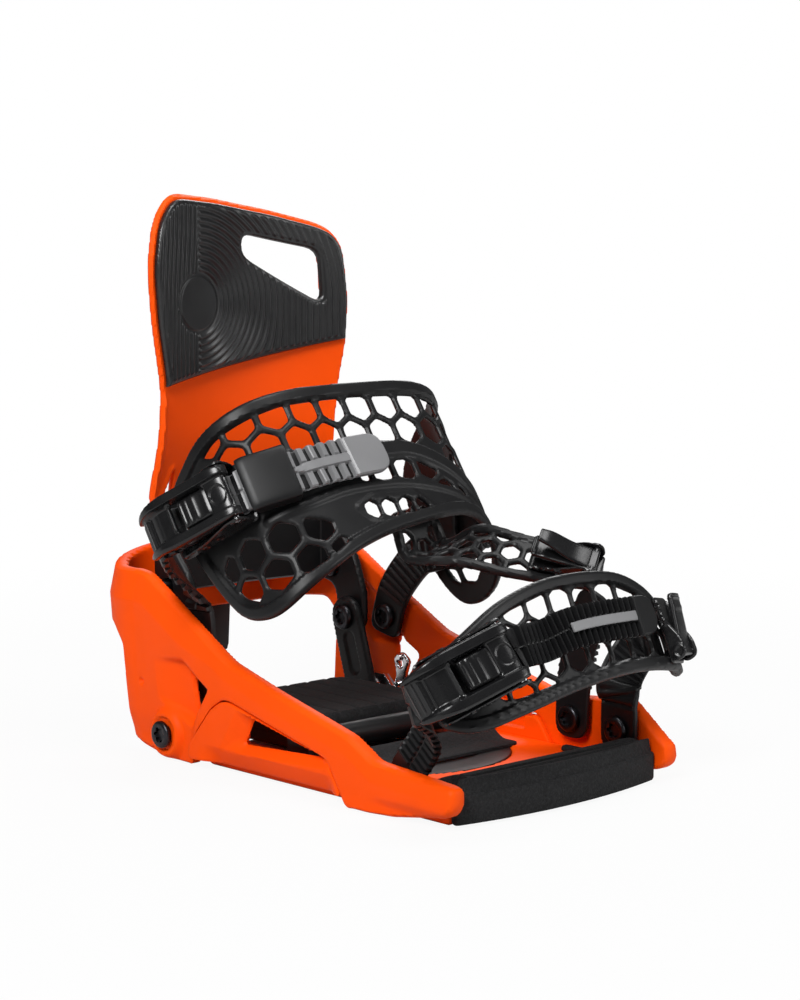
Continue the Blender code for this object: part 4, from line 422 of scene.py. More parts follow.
def hoop_place(u, v, e):
    """The hoop's outer face at plan length u from the middle of the heel and height v, moved inward by e."""
    side = np.where(u < 0, -1.0, 1.0)
    length = np.abs(u)
    turn = np.clip((length - CORNER_START) / HEEL_RADIUS, 0, math.pi / 2)
    reach = HEEL_RADIUS - e + HEEL_FLARE * np.sin(2 * turn) * smooth(v / 55.0)
    x = np.where(length < CORNER_START, length, CORNER_START + reach * np.sin(turn))
    y = SIDE_START_Y + reach * np.cos(turn) - np.maximum(length - CORNER_END, 0)
    return np.stack([side * x, y, v], -1)


def side_place(side, x=HALF_WIDTH, inward=1):
    """An upright plane at x on one side, moved inward or outward by e."""
    def place(y, z, e):
        return np.stack([side * (x - inward * e), y, z], -1)
    return place


def plan_place(x, y, z):
    """A level shape as it lies."""
    return np.stack([x, y, z], -1)


HIGHBACK_HALF = 60.0
HIGHBACK_LOW = 96.0
FLARE_HEIGHT = 54.0


def highback_place(x, z, e):
    """The highback's front face, a shallow bowl that gets flatter towards its foot, moved back by e."""
    share = smooth((z - HIGHBACK_LOW) / FLARE_HEIGHT)
    edge = 112.0 - 10.5 * share
    bow = 6.0 + 7.0 * share
    return np.stack([x, edge + bow * (1 - (x / HIGHBACK_HALF) ** 2) + e, z], -1)


CRADLE_FLAT = 48.0
CRADLE_RADIUS = 5.0
CRADLE_TURN = math.pi / 2 * CRADLE_RADIUS


def cradle_back(x):
    """The cradle's outer face behind the heel, bowed like the highback."""
    return 118.0 - 6.0 * (np.asarray(x, float) / HIGHBACK_HALF) ** 2 - 0.6


def cradle_side(y):
    """The cradle's plan length at a place y on its side."""
    return CRADLE_FLAT + CRADLE_TURN + float(cradle_back(CRADLE_FLAT)) - CRADLE_RADIUS - y


def cradle_place(u, v, e):
    """The cradle's outer face at plan length u and height v, moved inward by e."""
    side = np.where(u < 0, -1.0, 1.0)
    length = np.abs(u)
    turn = np.clip((length - CRADLE_FLAT) / CRADLE_RADIUS, 0, math.pi / 2)
    reach = CRADLE_RADIUS - e
    x = np.where(length < CRADLE_FLAT, length, CRADLE_FLAT + reach * np.sin(turn))
    corner_y = float(cradle_back(CRADLE_FLAT)) - CRADLE_RADIUS
    y = np.where(length < CRADLE_FLAT, cradle_back(length) - e, corner_y + reach * np.cos(turn))
    y = y - np.maximum(length - CRADLE_FLAT - CRADLE_TURN, 0)
    return np.stack([side * x, y, v], -1)


class Arch:
    """A strap's arch: half a superellipse across the boot, drawn out along the tilt of the strap."""

    def __init__(self, top, tilt, half_width, height, power):
        turn = math.radians(tilt)
        self.top = np.asarray(top, float)
        self.along = np.array([0, -math.sin(turn), -math.cos(turn)])
        self.out = np.array([0, -math.cos(turn), math.sin(turn)])
        turn = np.linspace(0, math.pi, 721)
        self.across = -half_width * bulged(np.cos(turn), 2 / power)
        self.rise = height * (np.abs(np.sin(turn)) ** (2 / power) - 1)
        length = np.concatenate([[0], np.cumsum(np.hypot(np.diff(self.across), np.diff(self.rise)))])
        self.length = length - length[360]

    def flat(self, s):
        """Across and upward at length s; past its ends the arch goes straight down."""
        beyond = np.maximum(0.0, np.abs(s) - self.length[-1])
        return np.interp(s, self.length, self.across), np.interp(s, self.length, self.rise) - beyond

    def step(self, s):
        """Run, rise and length of a short step along the arch at s."""
        x0, h0 = self.flat(s - 2.0)
        x1, h1 = self.flat(s + 2.0)
        return x1 - x0, h1 - h0, np.hypot(x1 - x0, h1 - h0)

    def place(self, s, v, e):
        """Length s along the arch from its top, v along the tilt and e outward."""
        s, v, e = np.broadcast_arrays(np.asarray(s, float), np.asarray(v, float), np.asarray(e, float))
        dx, dh, size = self.step(s)
        x, h = self.flat(s)
        x = x - e * dh / size
        h = h + e * dx / size
        return (self.top + x[..., None] * np.array([1.0, 0, 0]) + h[..., None] * self.out
                + v[..., None] * self.along)

    def height_over(self, x, h):
        """Height of a point over the nearest place on the arch, square to it."""
        nearest = int(np.argmin(np.hypot(self.across - x, self.rise - h)))
        dx, dh, size = self.step(self.length[nearest])
        return ((h - self.rise[nearest]) * dx - (x - self.across[nearest]) * dh) / size


class Band:
    """A band along a smooth path; its across direction turns from one to another by a share of the way."""

    def __init__(self, points, across, outside, settled=1.0):
        self.points = curve_through(points, 12 * len(points))
        steps = np.linalg.norm(np.diff(self.points, axis=0), axis=1)
        self.steps = np.concatenate([[0], np.cumsum(steps)])
        self.length = float(self.steps[-1])
        ahead = np.gradient(self.points, axis=0)
        kernel = np.array([1.0, 2.0, 3.0, 2.0, 1.0]) / 9
        padded = np.concatenate([ahead[:1]] * 2 + [ahead] + [ahead[-1:]] * 2)
        self.ahead = unit(np.stack([np.convolve(padded[:, i], kernel, "valid") for i in range(3)], 1))
        share = smooth(self.steps / self.length / settled)[:, None]
        across = np.asarray(across[0], float) * (1 - share) + np.asarray(across[1], float) * share
        self.across = unit(across - self.ahead * (across * self.ahead).sum(1, keepdims=True))
        self.normal = np.cross(self.ahead, self.across)
        if self.normal[0] @ np.asarray(outside, float) < 0:
            self.normal = -self.normal

    def length_at(self, point):
        """Length along the path of the place nearest to a point."""
        return float(self.steps[np.argmin(np.linalg.norm(self.points - point, axis=1))])

    def read(self, values, u):
        """Values kept along the path, read at length u."""
        return np.stack([np.interp(u, self.steps, values[:, i]) for i in range(3)], -1)

    def place(self, u, v, e):
        """Length u along the path, v across the band and e outward."""
        return (self.read(self.points, u) + self.read(self.across, u) * np.asarray(v, float)[..., None]
                + self.read(self.normal, u) * np.asarray(e, float)[..., None])


class Local:
    """A frame of its own for a buckle: first along it, second across, third away from the boot."""

    def __init__(self, origin, first, third):
        self.origin = np.asarray(origin, float)
        self.first = unit(first)
        third = np.asarray(third, float)
        self.third = unit(third - self.first * (third @ self.first))
        self.second = np.cross(self.third, self.first)

    def point(self, a, b, c):
        """The point origin + a first + b second + c third."""
        a, b, c = np.broadcast_arrays(np.asarray(a, float), np.asarray(b, float), np.asarray(c, float))
        return self.origin + a[..., None] * self.first + b[..., None] * self.second + c[..., None] * self.third


ANKLE = Arch((0, 17.5, 138.5), 33.5, 68.0, 55.0, 4.0)
TOE = Arch((6.0, -100.0, 69.0), 23.9, 72.0, 25.0, 3.0)


def seated(arch, at, lean, skew):
    """A buckle's frame at a place on the arch, raised until its floor lies over the strap."""
    turn = math.radians(lean)
    ahead = (math.cos(turn), math.sin(turn))
    x, h, v = at
    raised = 0.0
    for step in np.linspace(-20.0, 20.0, 21):
        over = arch.height_over(x + ahead[0] * step, h + ahead[1] * step)
        raised = max(raised, (STRAP_THICKNESS + 2 * GAP - over) / math.cos(turn / 3))
    wide = np.array([1.0, 0, 0])
    third = -ahead[1] * wide + arch.out * ahead[0]
    origin = arch.top + wide * x + arch.out * h + arch.along * v + third * raised
    aside = math.radians(skew)
    first = (ahead[0] * wide + arch.out * ahead[1]) * math.cos(aside) - arch.along * math.sin(aside)
    return Local(origin, first, third)


ANKLE_BUCKLE = seated(ANKLE, (-69.0, -32.8, 5.0), 65.7, 0.0)
TOE_BUCKLE = seated(TOE, (-60.0, -6.3, 6.0), 25.0, 13.0)
SHARES = (-1.35, -0.95, -0.5, 0, 0.5, 0.95, 1.25)


def on_strap(arch, s, v, low, high):
    """A frame on a strap, raised from one height to another over the same place."""
    origin = arch.place(s, v, low)
    return Local(origin, arch.along, arch.place(s, v, high) - origin)


def through_buckle(buckle):
    """Points of a ladder where it runs through its buckle."""
    return [buckle.point(BUCKLE_LENGTH / 2 * share, 0, LADDER_IN_BUCKLE) for share in SHARES]


def over_strap(arch, *places):
    """Points of a ladder where it lies over its strap."""
    return [arch.place(s, v, LADDER_OVER_STRAP) for s, v in places]


def ankle_ladder_band():
    """From the near anchor up through the ankle buckle and over the strap."""
    start = [(-ANCHOR_X, 70, 45), (-ANCHOR_X, 70, 54), (-ANCHOR_X, 71, 69), (-ANCHOR_X - 3, 71, 77),
             (-ANCHOR_X - 11, 71, 86), (-ANCHOR_X - 22, 68, 96)]
    end = over_strap(ANKLE, (-46, 5), (-36, 4), (-24, 3), (-12, 2), (0, 1))
    return Band(start + through_buckle(ANKLE_BUCKLE) + end, ((0, -1, -0.1), ANKLE.along), (-1, 0, 0), 0.36)


def toe_ladder_band():
    """From the near toe anchor, leaning forward, through the toe buckle and over the strap."""
    start = [(-ANCHOR_X, -60.5, 12.5), (-ANCHOR_X, -64, 16), (-ANCHOR_X - 0.5, -73, 26),
             (-ANCHOR_X - 2.5, -81, 36), (-ANCHOR_X - 9, -86, 45.5), (-ANCHOR_X - 18, -88.5, 51.5)]
    end = over_strap(TOE, (-24, -1), (-8, -4), (10, -5), (30, -5), (46, -5))
    return Band(start + through_buckle(TOE_BUCKLE) + end, ((0, -1, -0.1), TOE.along), (-1, 0, 0), 0.24)


def ankle_anchor_band():
    """From the far anchor up under the ankle strap."""
    start = [(ANCHOR_X, 72, 45), (ANCHOR_X, 70, 54), (ANCHOR_X, 66, 65), (ANCHOR_X + 1.5, 60, 75),
             (ANCHOR_X + 5, 52, 85)]
    end = [ANKLE.place(s, v, -2.7) for s, v in ((99, 28), (93, 19), (87, 10))]
    return Band(start + end, ((0, -0.88, -0.47), (0, -0.75, -0.66)), (1, 0, 0))


def toe_anchor_band():
    """From the far toe anchor up under the toe strap."""
    start = ([(ANCHOR_X, -80, 21 + rise) for rise in (-9, -4, 0, 4, 9, 14)]
             + [(ANCHOR_X + 2, -78, 41), (ANCHOR_X + 9, -76, 48)])
    end = [TOE.place(s, 3, -3.3) for s in (87, 79, 72, 65, 58)]
    return Band(start + end, ((0, -1, 0), TOE.along), (1, 0, 0), 0.6)


def front_ladder_band():
    """From the far front anchor up to the claw."""
    points = [(ANCHOR_X, -52, 13), (ANCHOR_X, -52, 22), (ANCHOR_X, -53, 38), (ANCHOR_X, -57, 56),
              (ANCHOR_X - 1, -67, 80)]
    return Band(points, ((0, -1, 0), (0, -0.93, -0.3)), (1, 0, 0))


def front_arm_band():
    """From the ankle strap's front edge down to the claw."""
    points = [ANKLE.place(s, v, -8.0) for s, v in ((13, 24), (14, 34), (16, 46))]
    points += [(22, -22, 100), (32, -40, 96.5), (46, -60, 92), (54, -72, 89.5)]
    return Band(points, ((1, 0, 0), (0.64, 0.42, 0.64)), ANKLE.out, 0.7)


# Finishes

def add_node(tree, kind, values=None, **settings):
    """A new shader node with its settings and the values of its inputs."""
    node = tree.nodes.new("ShaderNode" + kind)
    for key, value in settings.items():
        setattr(node, key, value)
    for key, value in (values or {}).items():
        node.inputs[key].default_value = value
    return node


def finish_base(name, colour, roughness, metallic=0.0):
    """A material with its node tree and shader."""
    material = bpy.data.materials.new(name)
    material.use_nodes = True
    tree = material.node_tree
    shader = tree.nodes["Principled BSDF"]
    shader.inputs["Base Color"].default_value = (*colour, 1.0)
    shader.inputs["Roughness"].default_value = roughness
    shader.inputs["Metallic"].default_value = metallic
    return material, tree, shader


def noise(tree, place, scale, detail=3.0, roughness=0.5):
    """A soft noise over the place."""
    texture = add_node(tree, "TexNoise", {"Scale": scale, "Detail": detail, "Roughness": roughness})
    tree.links.new(place, texture.inputs["Vector"])
    return texture.outputs["Fac"]


def ramp(tree, source, *stops):
    """A colour ramp between two stops of (position, colour)."""
    band = add_node(tree, "ValToRGB")
    for element, (position, colour) in zip(band.color_ramp.elements, stops):
        element.position = position
        element.color = (*colour, 1.0)
    tree.links.new(source, band.inputs["Fac"])
    return band.outputs["Color"]


def bump(tree, shader, height, strength, distance):
    """Fine height in the surface, by its normal alone."""
    node = add_node(tree, "Bump", {"Strength": strength, "Distance": distance})
    tree.links.new(height, node.inputs["Height"])
    tree.links.new(node.outputs["Normal"], shader.inputs["Normal"])


def colour_mix(tree, factor, first, second):
    """Two colours, each a socket or a plain colour, mixed by a factor."""
    mix = add_node(tree, "Mix", data_type="RGBA")
    tree.links.new(factor, mix.inputs["Factor"])
    for key, source in (("A", first), ("B", second)):
        if isinstance(source, tuple):
            mix.inputs[key].default_value = (*source, 1.0)
        else:
            tree.links.new(source, mix.inputs[key])
    return mix.outputs["Result"]


def uneven_polish(tree, shader, source, low, high):
    """Lets the roughness drift between two values."""
    spread = add_node(tree, "MapRange", {"To Min": low, "To Max": high})
    tree.links.new(source, spread.inputs["Value"])
    tree.links.new(spread.outputs["Result"], shader.inputs["Roughness"])


def moulded_finish(name, colour, roughness, grain, wear_and_sheen_colour, wear_and_sheen_amount, variation=0.06, gloss=0.5,
                   depth=0.06):
    """Moulded nylon: slow colour drift, fine spark grain in the bump, uneven polish, and edges mixed towards
    a paler colour where the surface is most convex, which stands for wear together with a painted sheen."""
    material, tree, shader = finish_base(name, colour, roughness)
    shader.inputs["Specular IOR Level"].default_value = gloss
    place = add_node(tree, "TexCoord").outputs["Object"]
    low = tuple(c * (1 - variation) for c in colour)
    high = tuple(min(c * (1 + variation), 1.0) for c in colour)
    tone = ramp(tree, noise(tree, place, 38.0, 2.0), (0.35, low), (0.65, high))
    # Painted sheen with wear: the most convex places are mixed towards a paler edge colour
    convex = add_node(tree, "NewGeometry").outputs["Pointiness"]
    edge = ramp(tree, convex, (0.53, (0, 0, 0)), (0.62, (wear_and_sheen_amount,) * 3))
    tree.links.new(colour_mix(tree, edge, tone, wear_and_sheen_colour), shader.inputs["Base Color"])
    polish = noise(tree, place, 160.0)
    uneven_polish(tree, shader, polish, max(roughness - 0.07, 0.05), min(roughness + 0.07, 1.0))
    bump(tree, shader, noise(tree, place, grain, 2.0, 0.6), depth, 0.00025)
    return material


def foam_finish(name, colour):
    """Pressed foam: a skin of small open cells with specks of paler dust in them."""
    material, tree, shader = finish_base(name, colour, 0.86)
    shader.inputs["Specular IOR Level"].default_value = 0.3
    place = add_node(tree, "TexCoord").outputs["Object"]
    cells = add_node(tree, "TexVoronoi", {"Scale": 1500.0})
    tree.links.new(place, cells.inputs["Vector"])
    dust = tuple(c * 2.4 + 0.004 for c in colour)
    tone = ramp(tree, noise(tree, place, 900.0, 4.0, 0.7), (0.42, colour), (0.72, dust))
    tree.links.new(tone, shader.inputs["Base Color"])
    bump(tree, shader, cells.outputs["Distance"], 0.45, 0.0004)
    return material


def metal_finish(name, colour, roughness):
    """Bright plated steel with fine drawn lines in its polish."""
    material, tree, shader = finish_base(name, colour, roughness, 1.0)
    stretch = add_node(tree, "Mapping", {"Scale": (1.0, 14.0, 14.0)})
    tree.links.new(add_node(tree, "TexCoord").outputs["Object"], stretch.inputs["Vector"])
    lines = noise(tree, stretch.outputs["Vector"], 120.0, 4.0)
    uneven_polish(tree, shader, lines, max(roughness - 0.06, 0.03), roughness + 0.12)
    return material


def painted_shade_below(material, colour, low=0.108, high=0.126):
    """Lets a finish pass into a darker colour below a height, by a ramp on the object's Z: painted shade for
    the lower part, which lies in shadow.
    """
    tree = material.node_tree
    base = tree.nodes["Principled BSDF"].inputs["Base Color"]
    split = add_node(tree, "SeparateXYZ")
    share = add_node(tree, "MapRange", {"From Min": low, "From Max": high})
    tree.links.new(add_node(tree, "TexCoord").outputs["Object"], split.inputs[0])
    tree.links.new(split.outputs["Z"], share.inputs["Value"])
    tree.links.new(colour_mix(tree, share.outputs["Result"], colour, base.links[0].from_socket), base)


FINISHES = {}


def build_finishes(looks):
    """All finishes, made once from the chosen colours."""
    orange, black, ladder = tuple(looks.orange), tuple(looks.black), tuple(looks.ladder)
    # The fifth and sixth values of each finish give the colour and amount of its convex edges: wear and a
    # painted sheen
    rubbed_and_sheen, pale = (0.03, 0.03, 0.031), (0.4, 0.4, 0.41)
    moulded = {
        "orange": ("orange_nylon", orange, 0.5, 2600.0, (1.0, 0.14, 0.005), 0.2, 0.02, 0.1),
        "black": ("black_nylon", black, 0.42, 2200.0, rubbed_and_sheen, 0.3, 0.06, 0.3),
        "strap": ("black_strap", black, 0.42, 1800.0, (0.02, 0.02, 0.021), 0.2, 0.06, 0.32),
        "buckle": ("buckle_black", black, 0.25, 2600.0, rubbed_and_sheen, 0.3, 0.06, 0.45, 0.02),
        "grey": ("ladder_grey", ladder, 0.36, 2400.0, pale, 0.35),
        "ladder": ("toothed_grey_painted_shade", ladder, 0.36, 2400.0, pale, 0.35),
        "eva": ("pressed_pad", black, 0.34, 1500.0, (0.04, 0.04, 0.042), 0.4, 0.1, 0.6),
    }
    for look, values in moulded.items():
        FINISHES[look] = moulded_finish(*values)
    # Painted shade: the toothed ladder turns black towards its lower end
    painted_shade_below(FINISHES["ladder"], black)
    FINISHES["foam"] = foam_finish("pressed_foam", tuple(looks.foam))
    FINISHES["steel"] = metal_finish("bright_steel", (0.72, 0.72, 0.74), 0.16)
    FINISHES["dark_steel"] = metal_finish("black_screw_steel", (0.05, 0.05, 0.055), 0.3)


def dress(name, mesh_data, look, body, *nodes, sharp=40.0):
    """A piece in one of the finishes; it stands for the node of its name unless others are given."""
    nodes = nodes or (name.replace("_look", ""),)
    return piece(name, mesh_data, FINISHES[look], body, nodes, sharp)


def round_copy(node, look, body, width):
    """A softened copy of a node in one of the finishes."""
    return softened(node, node + "_look", FINISHES[look], body, width)


# Hoop, panels and floor

def hoop_outline(near):
    """Half the hoop, unrolled: the rail from mid heel to toe, and the lower edge back again."""
    corner = CORNER_END - CORNER_START
    top = [(0.0, 92.0), (CORNER_START, 92.0), (CORNER_START + corner * 0.3, 89.0),
           (CORNER_START + corner * 0.65, 85.0), (CORNER_END, 85.0)]
    side = [(98, 84.0), (78, 72.66), (61, 63.0), (50, 56.7), (38, 50.4), (8, 42.0), (-41, 30.0),
            (-57, 21.5) if near else (-81.5, 34.0)]
    side += [(-101.5, 18.4), (-104, 17.0)]
    top += [(float(along_side(y)), z) for y, z in side]
    low = [(-104, 9.5), (-100, 5.5), (-66, 0.0)] + SEAM + [(92, 0.0)]
    low = [(float(along_side(y)), z) for y, z in low]
    edge = CORNER_END - 12.0
    return top, low + [(edge, 5.0), (edge + 2, 50.0), (edge - 6, 58.0), (CORNER_START, 58.0), (0.0, 58.0)]


def hoop_look(edge_radius):
    """The hoop unrolled: a rail with small round edges, a crisp seam, a sunk panel on each heel side with a
    scoop that deepens towards the three-cornered window, and an opening at the back."""
    far_top, far_low = hoop_outline(False)
    near_top, near_low = hoop_outline(True)
    near = [(-u, z) for u, z in near_top[1:] + near_low[:-1]]
    loop = soft_corners(far_top + far_low[:-1] + near[::-1], 3.0)
    window = soft_corners([(68.5, 45), (52, 36.5), (64, 21)], 3.2)
    window = np.stack([along_side(window[:, 0]), window[:, 1]], 1)
    seam_line = [(float(along_side(y)), z) for y, z in SEAM]

    def from_screw(u, v):
        return np.hypot(np.abs(u) - along_side(HOOP_SCREW[0]), v - HOOP_SCREW[1])

    def distance(u, v):
        solid = np.minimum(loop_distance(u, v, loop), -loop_distance(np.abs(u), v, window))
        return np.minimum(solid, from_screw(u, v) - 3.4)

    def edges(u, v, d):
        seam = smooth((3.5 - chain_distance(np.abs(u), v, seam_line)) / 2.0)
        return rounding(d, edge_radius + (0.5 - edge_radius) * seam)

    def outer(u, v, d):
        a = np.abs(u)
        y = along_side(0.0) - a
        top = np.where(u < 0, np.interp(a, *np.transpose(near_top)), np.interp(a, *np.transpose(far_top)))
        crease = 8.0 + 6.0 * smooth((y - 45) / 30)
        leaning = 0.2 * np.maximum(crease - top + v, 0.0)
        undercut = 0.065 * np.maximum(top - v - crease, 0.0) * smooth((y - 58) / 8)
        bowl = from_screw(u, v)
        face = (leaning + undercut) * (1 - smooth((12.5 - bowl) / 3.0)) + 1.2 * smooth((8.2 - bowl) / 0.8)
        scoop = loop_distance(y, v, [(92, 47), (70, 48.5), (50, 37), (63, 17.5), (90, 27)])
        deep = 4.6 * smooth((scoop + 0.3) / 3.5) * smooth((93 - y) / 26)
        pin = 1.8 * smooth((1.9 - np.hypot(y - 102, v - 33.5)) / 1.2)
        turned_in = 1.8 * smooth((20 - v) / 14) * smooth((y - 90) / 10)
        toe = 2.2 * smooth((8.5 - v) / 5) * smooth((-52 - y) / 14)
        return edges(u, v, d) + face + deep + pin + turned_in + toe

    def inner(u, v, d):
        y = along_side(0.0) - np.abs(u)
        pocket = loop_distance(y, v, [(60, 40), (72, 58), (96, 72), (99, 58), (84, 40)])
        return RAIL_WALL - edges(u, v, d) - 2.2 * smooth((pocket + 0.5) / 2.5)

    reach = float(along_side(-104.0))
    return relief(((-reach - 1, reach + 1), (-1, 93)), (1.0, 1.0), distance, hoop_place, outer, inner)


def release_lug(side):
    """A round-ended lug behind the heel that carries the release lever's pin."""
    y, z = RELEASE_AXIS
    turn = np.radians(np.linspace(-90, 90, 13))
    round_end = np.stack([y + LUG_RADIUS * np.cos(turn), z + LUG_RADIUS * np.sin(turn)], 1)
    loop = np.concatenate([[[138.0, z - LUG_RADIUS]], round_end, [[138.0, z + LUG_RADIUS]]])
    return slab(loop, ((137, 150.5), (61, 71)), (0.6, 0.6), side_place(side, 17.4, -1), 0.7, 4.0)


def panel_look(side):
    """The base's side panel under the seam: a scoop ramps down from its outline to the long window's edge, and
    the panel is hollow behind it."""
    loop = [(y, z) for y, z in reversed(SEAM)]
    loop[0], loop[-1] = (65.3, 4.0), (-38.2, 4.0)
    loop[1:-1] = [(y, z - 0.9) for y, z in loop[1:-1]]
    loop = soft_corners(loop, 3.0)
    window = soft_corners([(22, 27.8), (-26, 18.2), (28.5, 15.4)], 2.2)
    scoop = soft_corners([(30, 31), (-33, 17.6), (-33, 14.5), (43, 10.5)], 2.0)
    hollow = [(31, 30.5), (-20, 19.5), (-20, 12), (34, 12)]

    def outer(u, v, d):
        from_outline = np.maximum(loop_distance(u, v, scoop), 0.0)
        from_window = np.maximum(-loop_distance(u, v, window), 0.0)
        ramp = 3.5 * from_outline / (from_outline + from_window + 1e-6)
        lower = 0.55 * np.maximum(12.0 - v, 0.0) * smooth((u + 36) / 10) * smooth((58 - u) / 14)
        return rounding(d, 0.4) + ramp + lower

    def inner(u, v, d):
        return 10.6 - rounding(d, 0.4) - 6.1 * smooth((loop_distance(u, v, hollow) + 0.2) / 0.8)

    return relief(((-42, 67), (3, 35)), (0.7, 0.7), within(loop, window), side_place(side), outer, inner)


def floor_look():
    """The base's floor, with a round opening for the disc and shallow grooves across its toe end."""
    loop = soft_corners(rectangle(-FLOOR_HALF, FLOOR_HALF, -94, 62), 3.0)

    def distance(u, v):
        return np.minimum(loop_distance(u, v, loop), np.hypot(u, v) - DISC_HOLE)

    def top(u, v, d):
        ribs = 1.2 * smooth((np.abs(np.mod(u + 60, 15.0) - 7.5) - 5.5) / 1.2) * smooth((-v - 54) / 3)
        return 8.0 - rounding(d, 1.0) - ribs

    return relief(((-62, 62), (-95, 63)), (1.4, 1.4), distance, plan_place, top,
                  lambda u, v, d: 0.2 + rounding(d, 1.0))


def ear_look(side):
    """An upright ear that carries one end of the pedal's axle."""
    loop = soft_corners([(-3, 4), (11, 4), (11, 20), (8, 23.5), (0, 23.5), (-3, 20)], 2.5)
    return slab(loop, ((-4, 12), (3, 24)), (0.7, 0.7), side_place(side, 52.0, -1), 1.0, 6.0)


# Foam pads

def foam_block(loop, base, top, crown, radius, cell, extent):
    """A pressed foam pad: flat underside, rounded shoulders and a top that swells by crown to its middle."""
    def upper(u, v, d):
        return top(u, v) - rounding(d, radius) + crown * (smooth(d / (4 * radius)) - 1)

    return relief(extent, (cell, cell), within(loop), plan_place, upper,
                  lambda u, v, d: base + rounding(d, 0.6))


def bumper_loop():
    """The bumper's outline, bowed forward as a parabola."""
    share = np.linspace(-1, 1, 33)
    front = np.stack([FLOOR_HALF * share, -105.3 + 7.0 * share ** 2], 1)
    return np.concatenate([front, [[FLOOR_HALF, -94.3], [-FLOOR_HALF, -94.3]]])


# Highback

def highback_loop():
    """The highback's outline, higher on its near side."""
    right = [(42, 96), (55, 116), (54, 150), (56.5, 167), (60, 186), (61, 208), (58.5, 232), (53, 240),
             (45, 244), (20, 249.85)]
    left = [(-13, 255), (-40, 257), (-48, 253), (-56, 243), (-60, 223), (-57, 197), (-53, 180), (-50, 165),
            (-52, 145), (-55, 116), (-42, 96)]
    return soft_corners(right + left, 7.0)


def handle_loop(margin=0.0):
    """The handle hole, widened by a share of its size."""
    loop = np.asarray([(0.5, 239.5), (46, 231), (48, 203), (0, 228.5)], float)
    middle = loop.mean(0)
    return soft_corners(loop + (loop - middle) * margin, 6.5)


def shell_look(rim):
    """The highback shell: a bowl with rounded edges, a raised lip along its sides and two shallow spines."""
    loop = highback_loop()
    hole = handle_loop()
    window = soft_corners([(40.5, 113), (48, 111), (41, 129)], 2.0)

    def distance(u, v):
        gaps = np.maximum(loop_distance(u, v, hole), loop_distance(np.abs(u), v, window))
        return np.minimum(loop_distance(u, v, loop), -gaps)

    def front(u, v, d):
        lip = -0.9 * smooth((4.0 - d) / 3.0) * smooth((166 - v) / 6) * smooth((np.abs(u) - 38) / 4)
        return rounding(d, rim) + lip

    def back(u, v, d):
        spine = (2.4 * smooth((9.0 - np.abs(np.abs(u) - 26.0 - 0.06 * (200 - v))) / 6.0)
                 * smooth((226 - v) / 20) * smooth((v - 108) / 12))
        return 4.0 - rounding(d, rim) - 0.4 * spine

    return relief(((-62, 63), (95, 258)), (1.0, 1.0), distance, highback_place, front, back)


def pad_foot(x):
    """Height of the pad's slanting foot."""
    return 166.0 + 0.183 * (x + 60)


def pad_loop():
    """The pad's outline: the highback's, drawn in, above a slanting foot."""
    loop = np.asarray(highback_loop())
    normal = unit(np.roll(loop, -1, 0) - np.roll(loop, 1, 0))
    loop = loop + 2.6 * np.stack([-normal[:, 1], normal[:, 0]], 1)
    kept = loop[loop[:, 1] > pad_foot(loop[:, 0]) + 2.0]
    foot_line = [(x, pad_foot(x)) for x in np.linspace(kept[-1][0], kept[0][0], 14)]
    return np.concatenate([kept, foot_line])


def pad_look(pitch, depth):
    """The pad: round ridges of equal pitch, upright on the near side of a seam and in circles round a smooth
    round place on the other, with their height 0.5 + 0.5 cos of the way across each ridge."""
    loop = pad_loop()
    hole = handle_loop(-0.07)
    centre = (-27.5, 206.0)

    def front(u, v, d):
        radial = np.hypot(u - centre[0], v - centre[1])
        edge = np.abs(u + 57.0 - 3.0 * smooth((v - 200) / 50))
        far = smooth((u - 6) / 26) * smooth((214 - v) / 16)
        phase = np.where(u < centre[0], edge, radial * (1 - far) + far * (u - centre[0]))
        wave = 0.5 + 0.5 * np.cos(2 * math.pi * phase / pitch)
        round_place = smooth((radial - 13.8) / 0.8)
        border = smooth((d - 1.6) / 1.0)
        seam = smooth((np.abs(u - centre[0]) - 0.4) / 0.8)
        ridge = depth * wave * round_place * border * np.where(radial > 14, seam, 1)
        disc = 0.7 * (1 - smooth((radial - 12.4) / 0.6))
        return -3.3 + rounding(d, 1.4) - ridge - disc

    return relief(((-60, 61), (164, 256)), (0.45, 0.45), within(loop, hole), highback_place, front,
                  lambda u, v, d: np.full(u.shape, -0.3))


# Cradle and links

def cradle_look():
    """The cradle unrolled: a band behind the heel with an arm down each side, eyes for its bolts and a sunk
    middle."""
    bolt_u, pivot_u = cradle_side(LINK_TOP[0]), cradle_side(HIGHBACK_PIVOT[0])
    half = [(0.0, 100.0), (CRADLE_FLAT, 100.0), (cradle_side(100.0), 99.0), (bolt_u + 1.72, 83.0),
            (bolt_u + 8.6, 65.0), (bolt_u + 8.6, 49.0), (bolt_u + 3.44, 44.4), (bolt_u - 4.3, 44.4),
            (bolt_u - 10.3, 53.0), (cradle_side(100.0), 67.0), (CRADLE_FLAT, 71.0), (0.0, 73.0)]
    loop = soft_corners(half[1:-1] + [(-u, z) for u, z in reversed(half[1:-1])], 5.0)

    def distance(u, v):
        a = np.abs(u)
        bolts = np.minimum(np.hypot(a - bolt_u, v - LINK_TOP[1]), np.hypot(a - pivot_u, v - HIGHBACK_PIVOT[1]))
        return np.minimum(loop_distance(u, v, loop), bolts - BOLT_EYE)

    def outer(u, v, d):
        sunk = 0.8 * smooth((loop_distance(u, v, loop) - 4.0) / 1.5) * smooth((44 - np.abs(u)) / 2)
        return rounding(d, 1.4) + sunk

    reach = bolt_u + 10
    return relief(((-reach, reach), (43, 101)), (0.9, 0.9), distance, cradle_place, outer,
                  lambda u, v, d: 4.0 - rounding(d, 1.4))


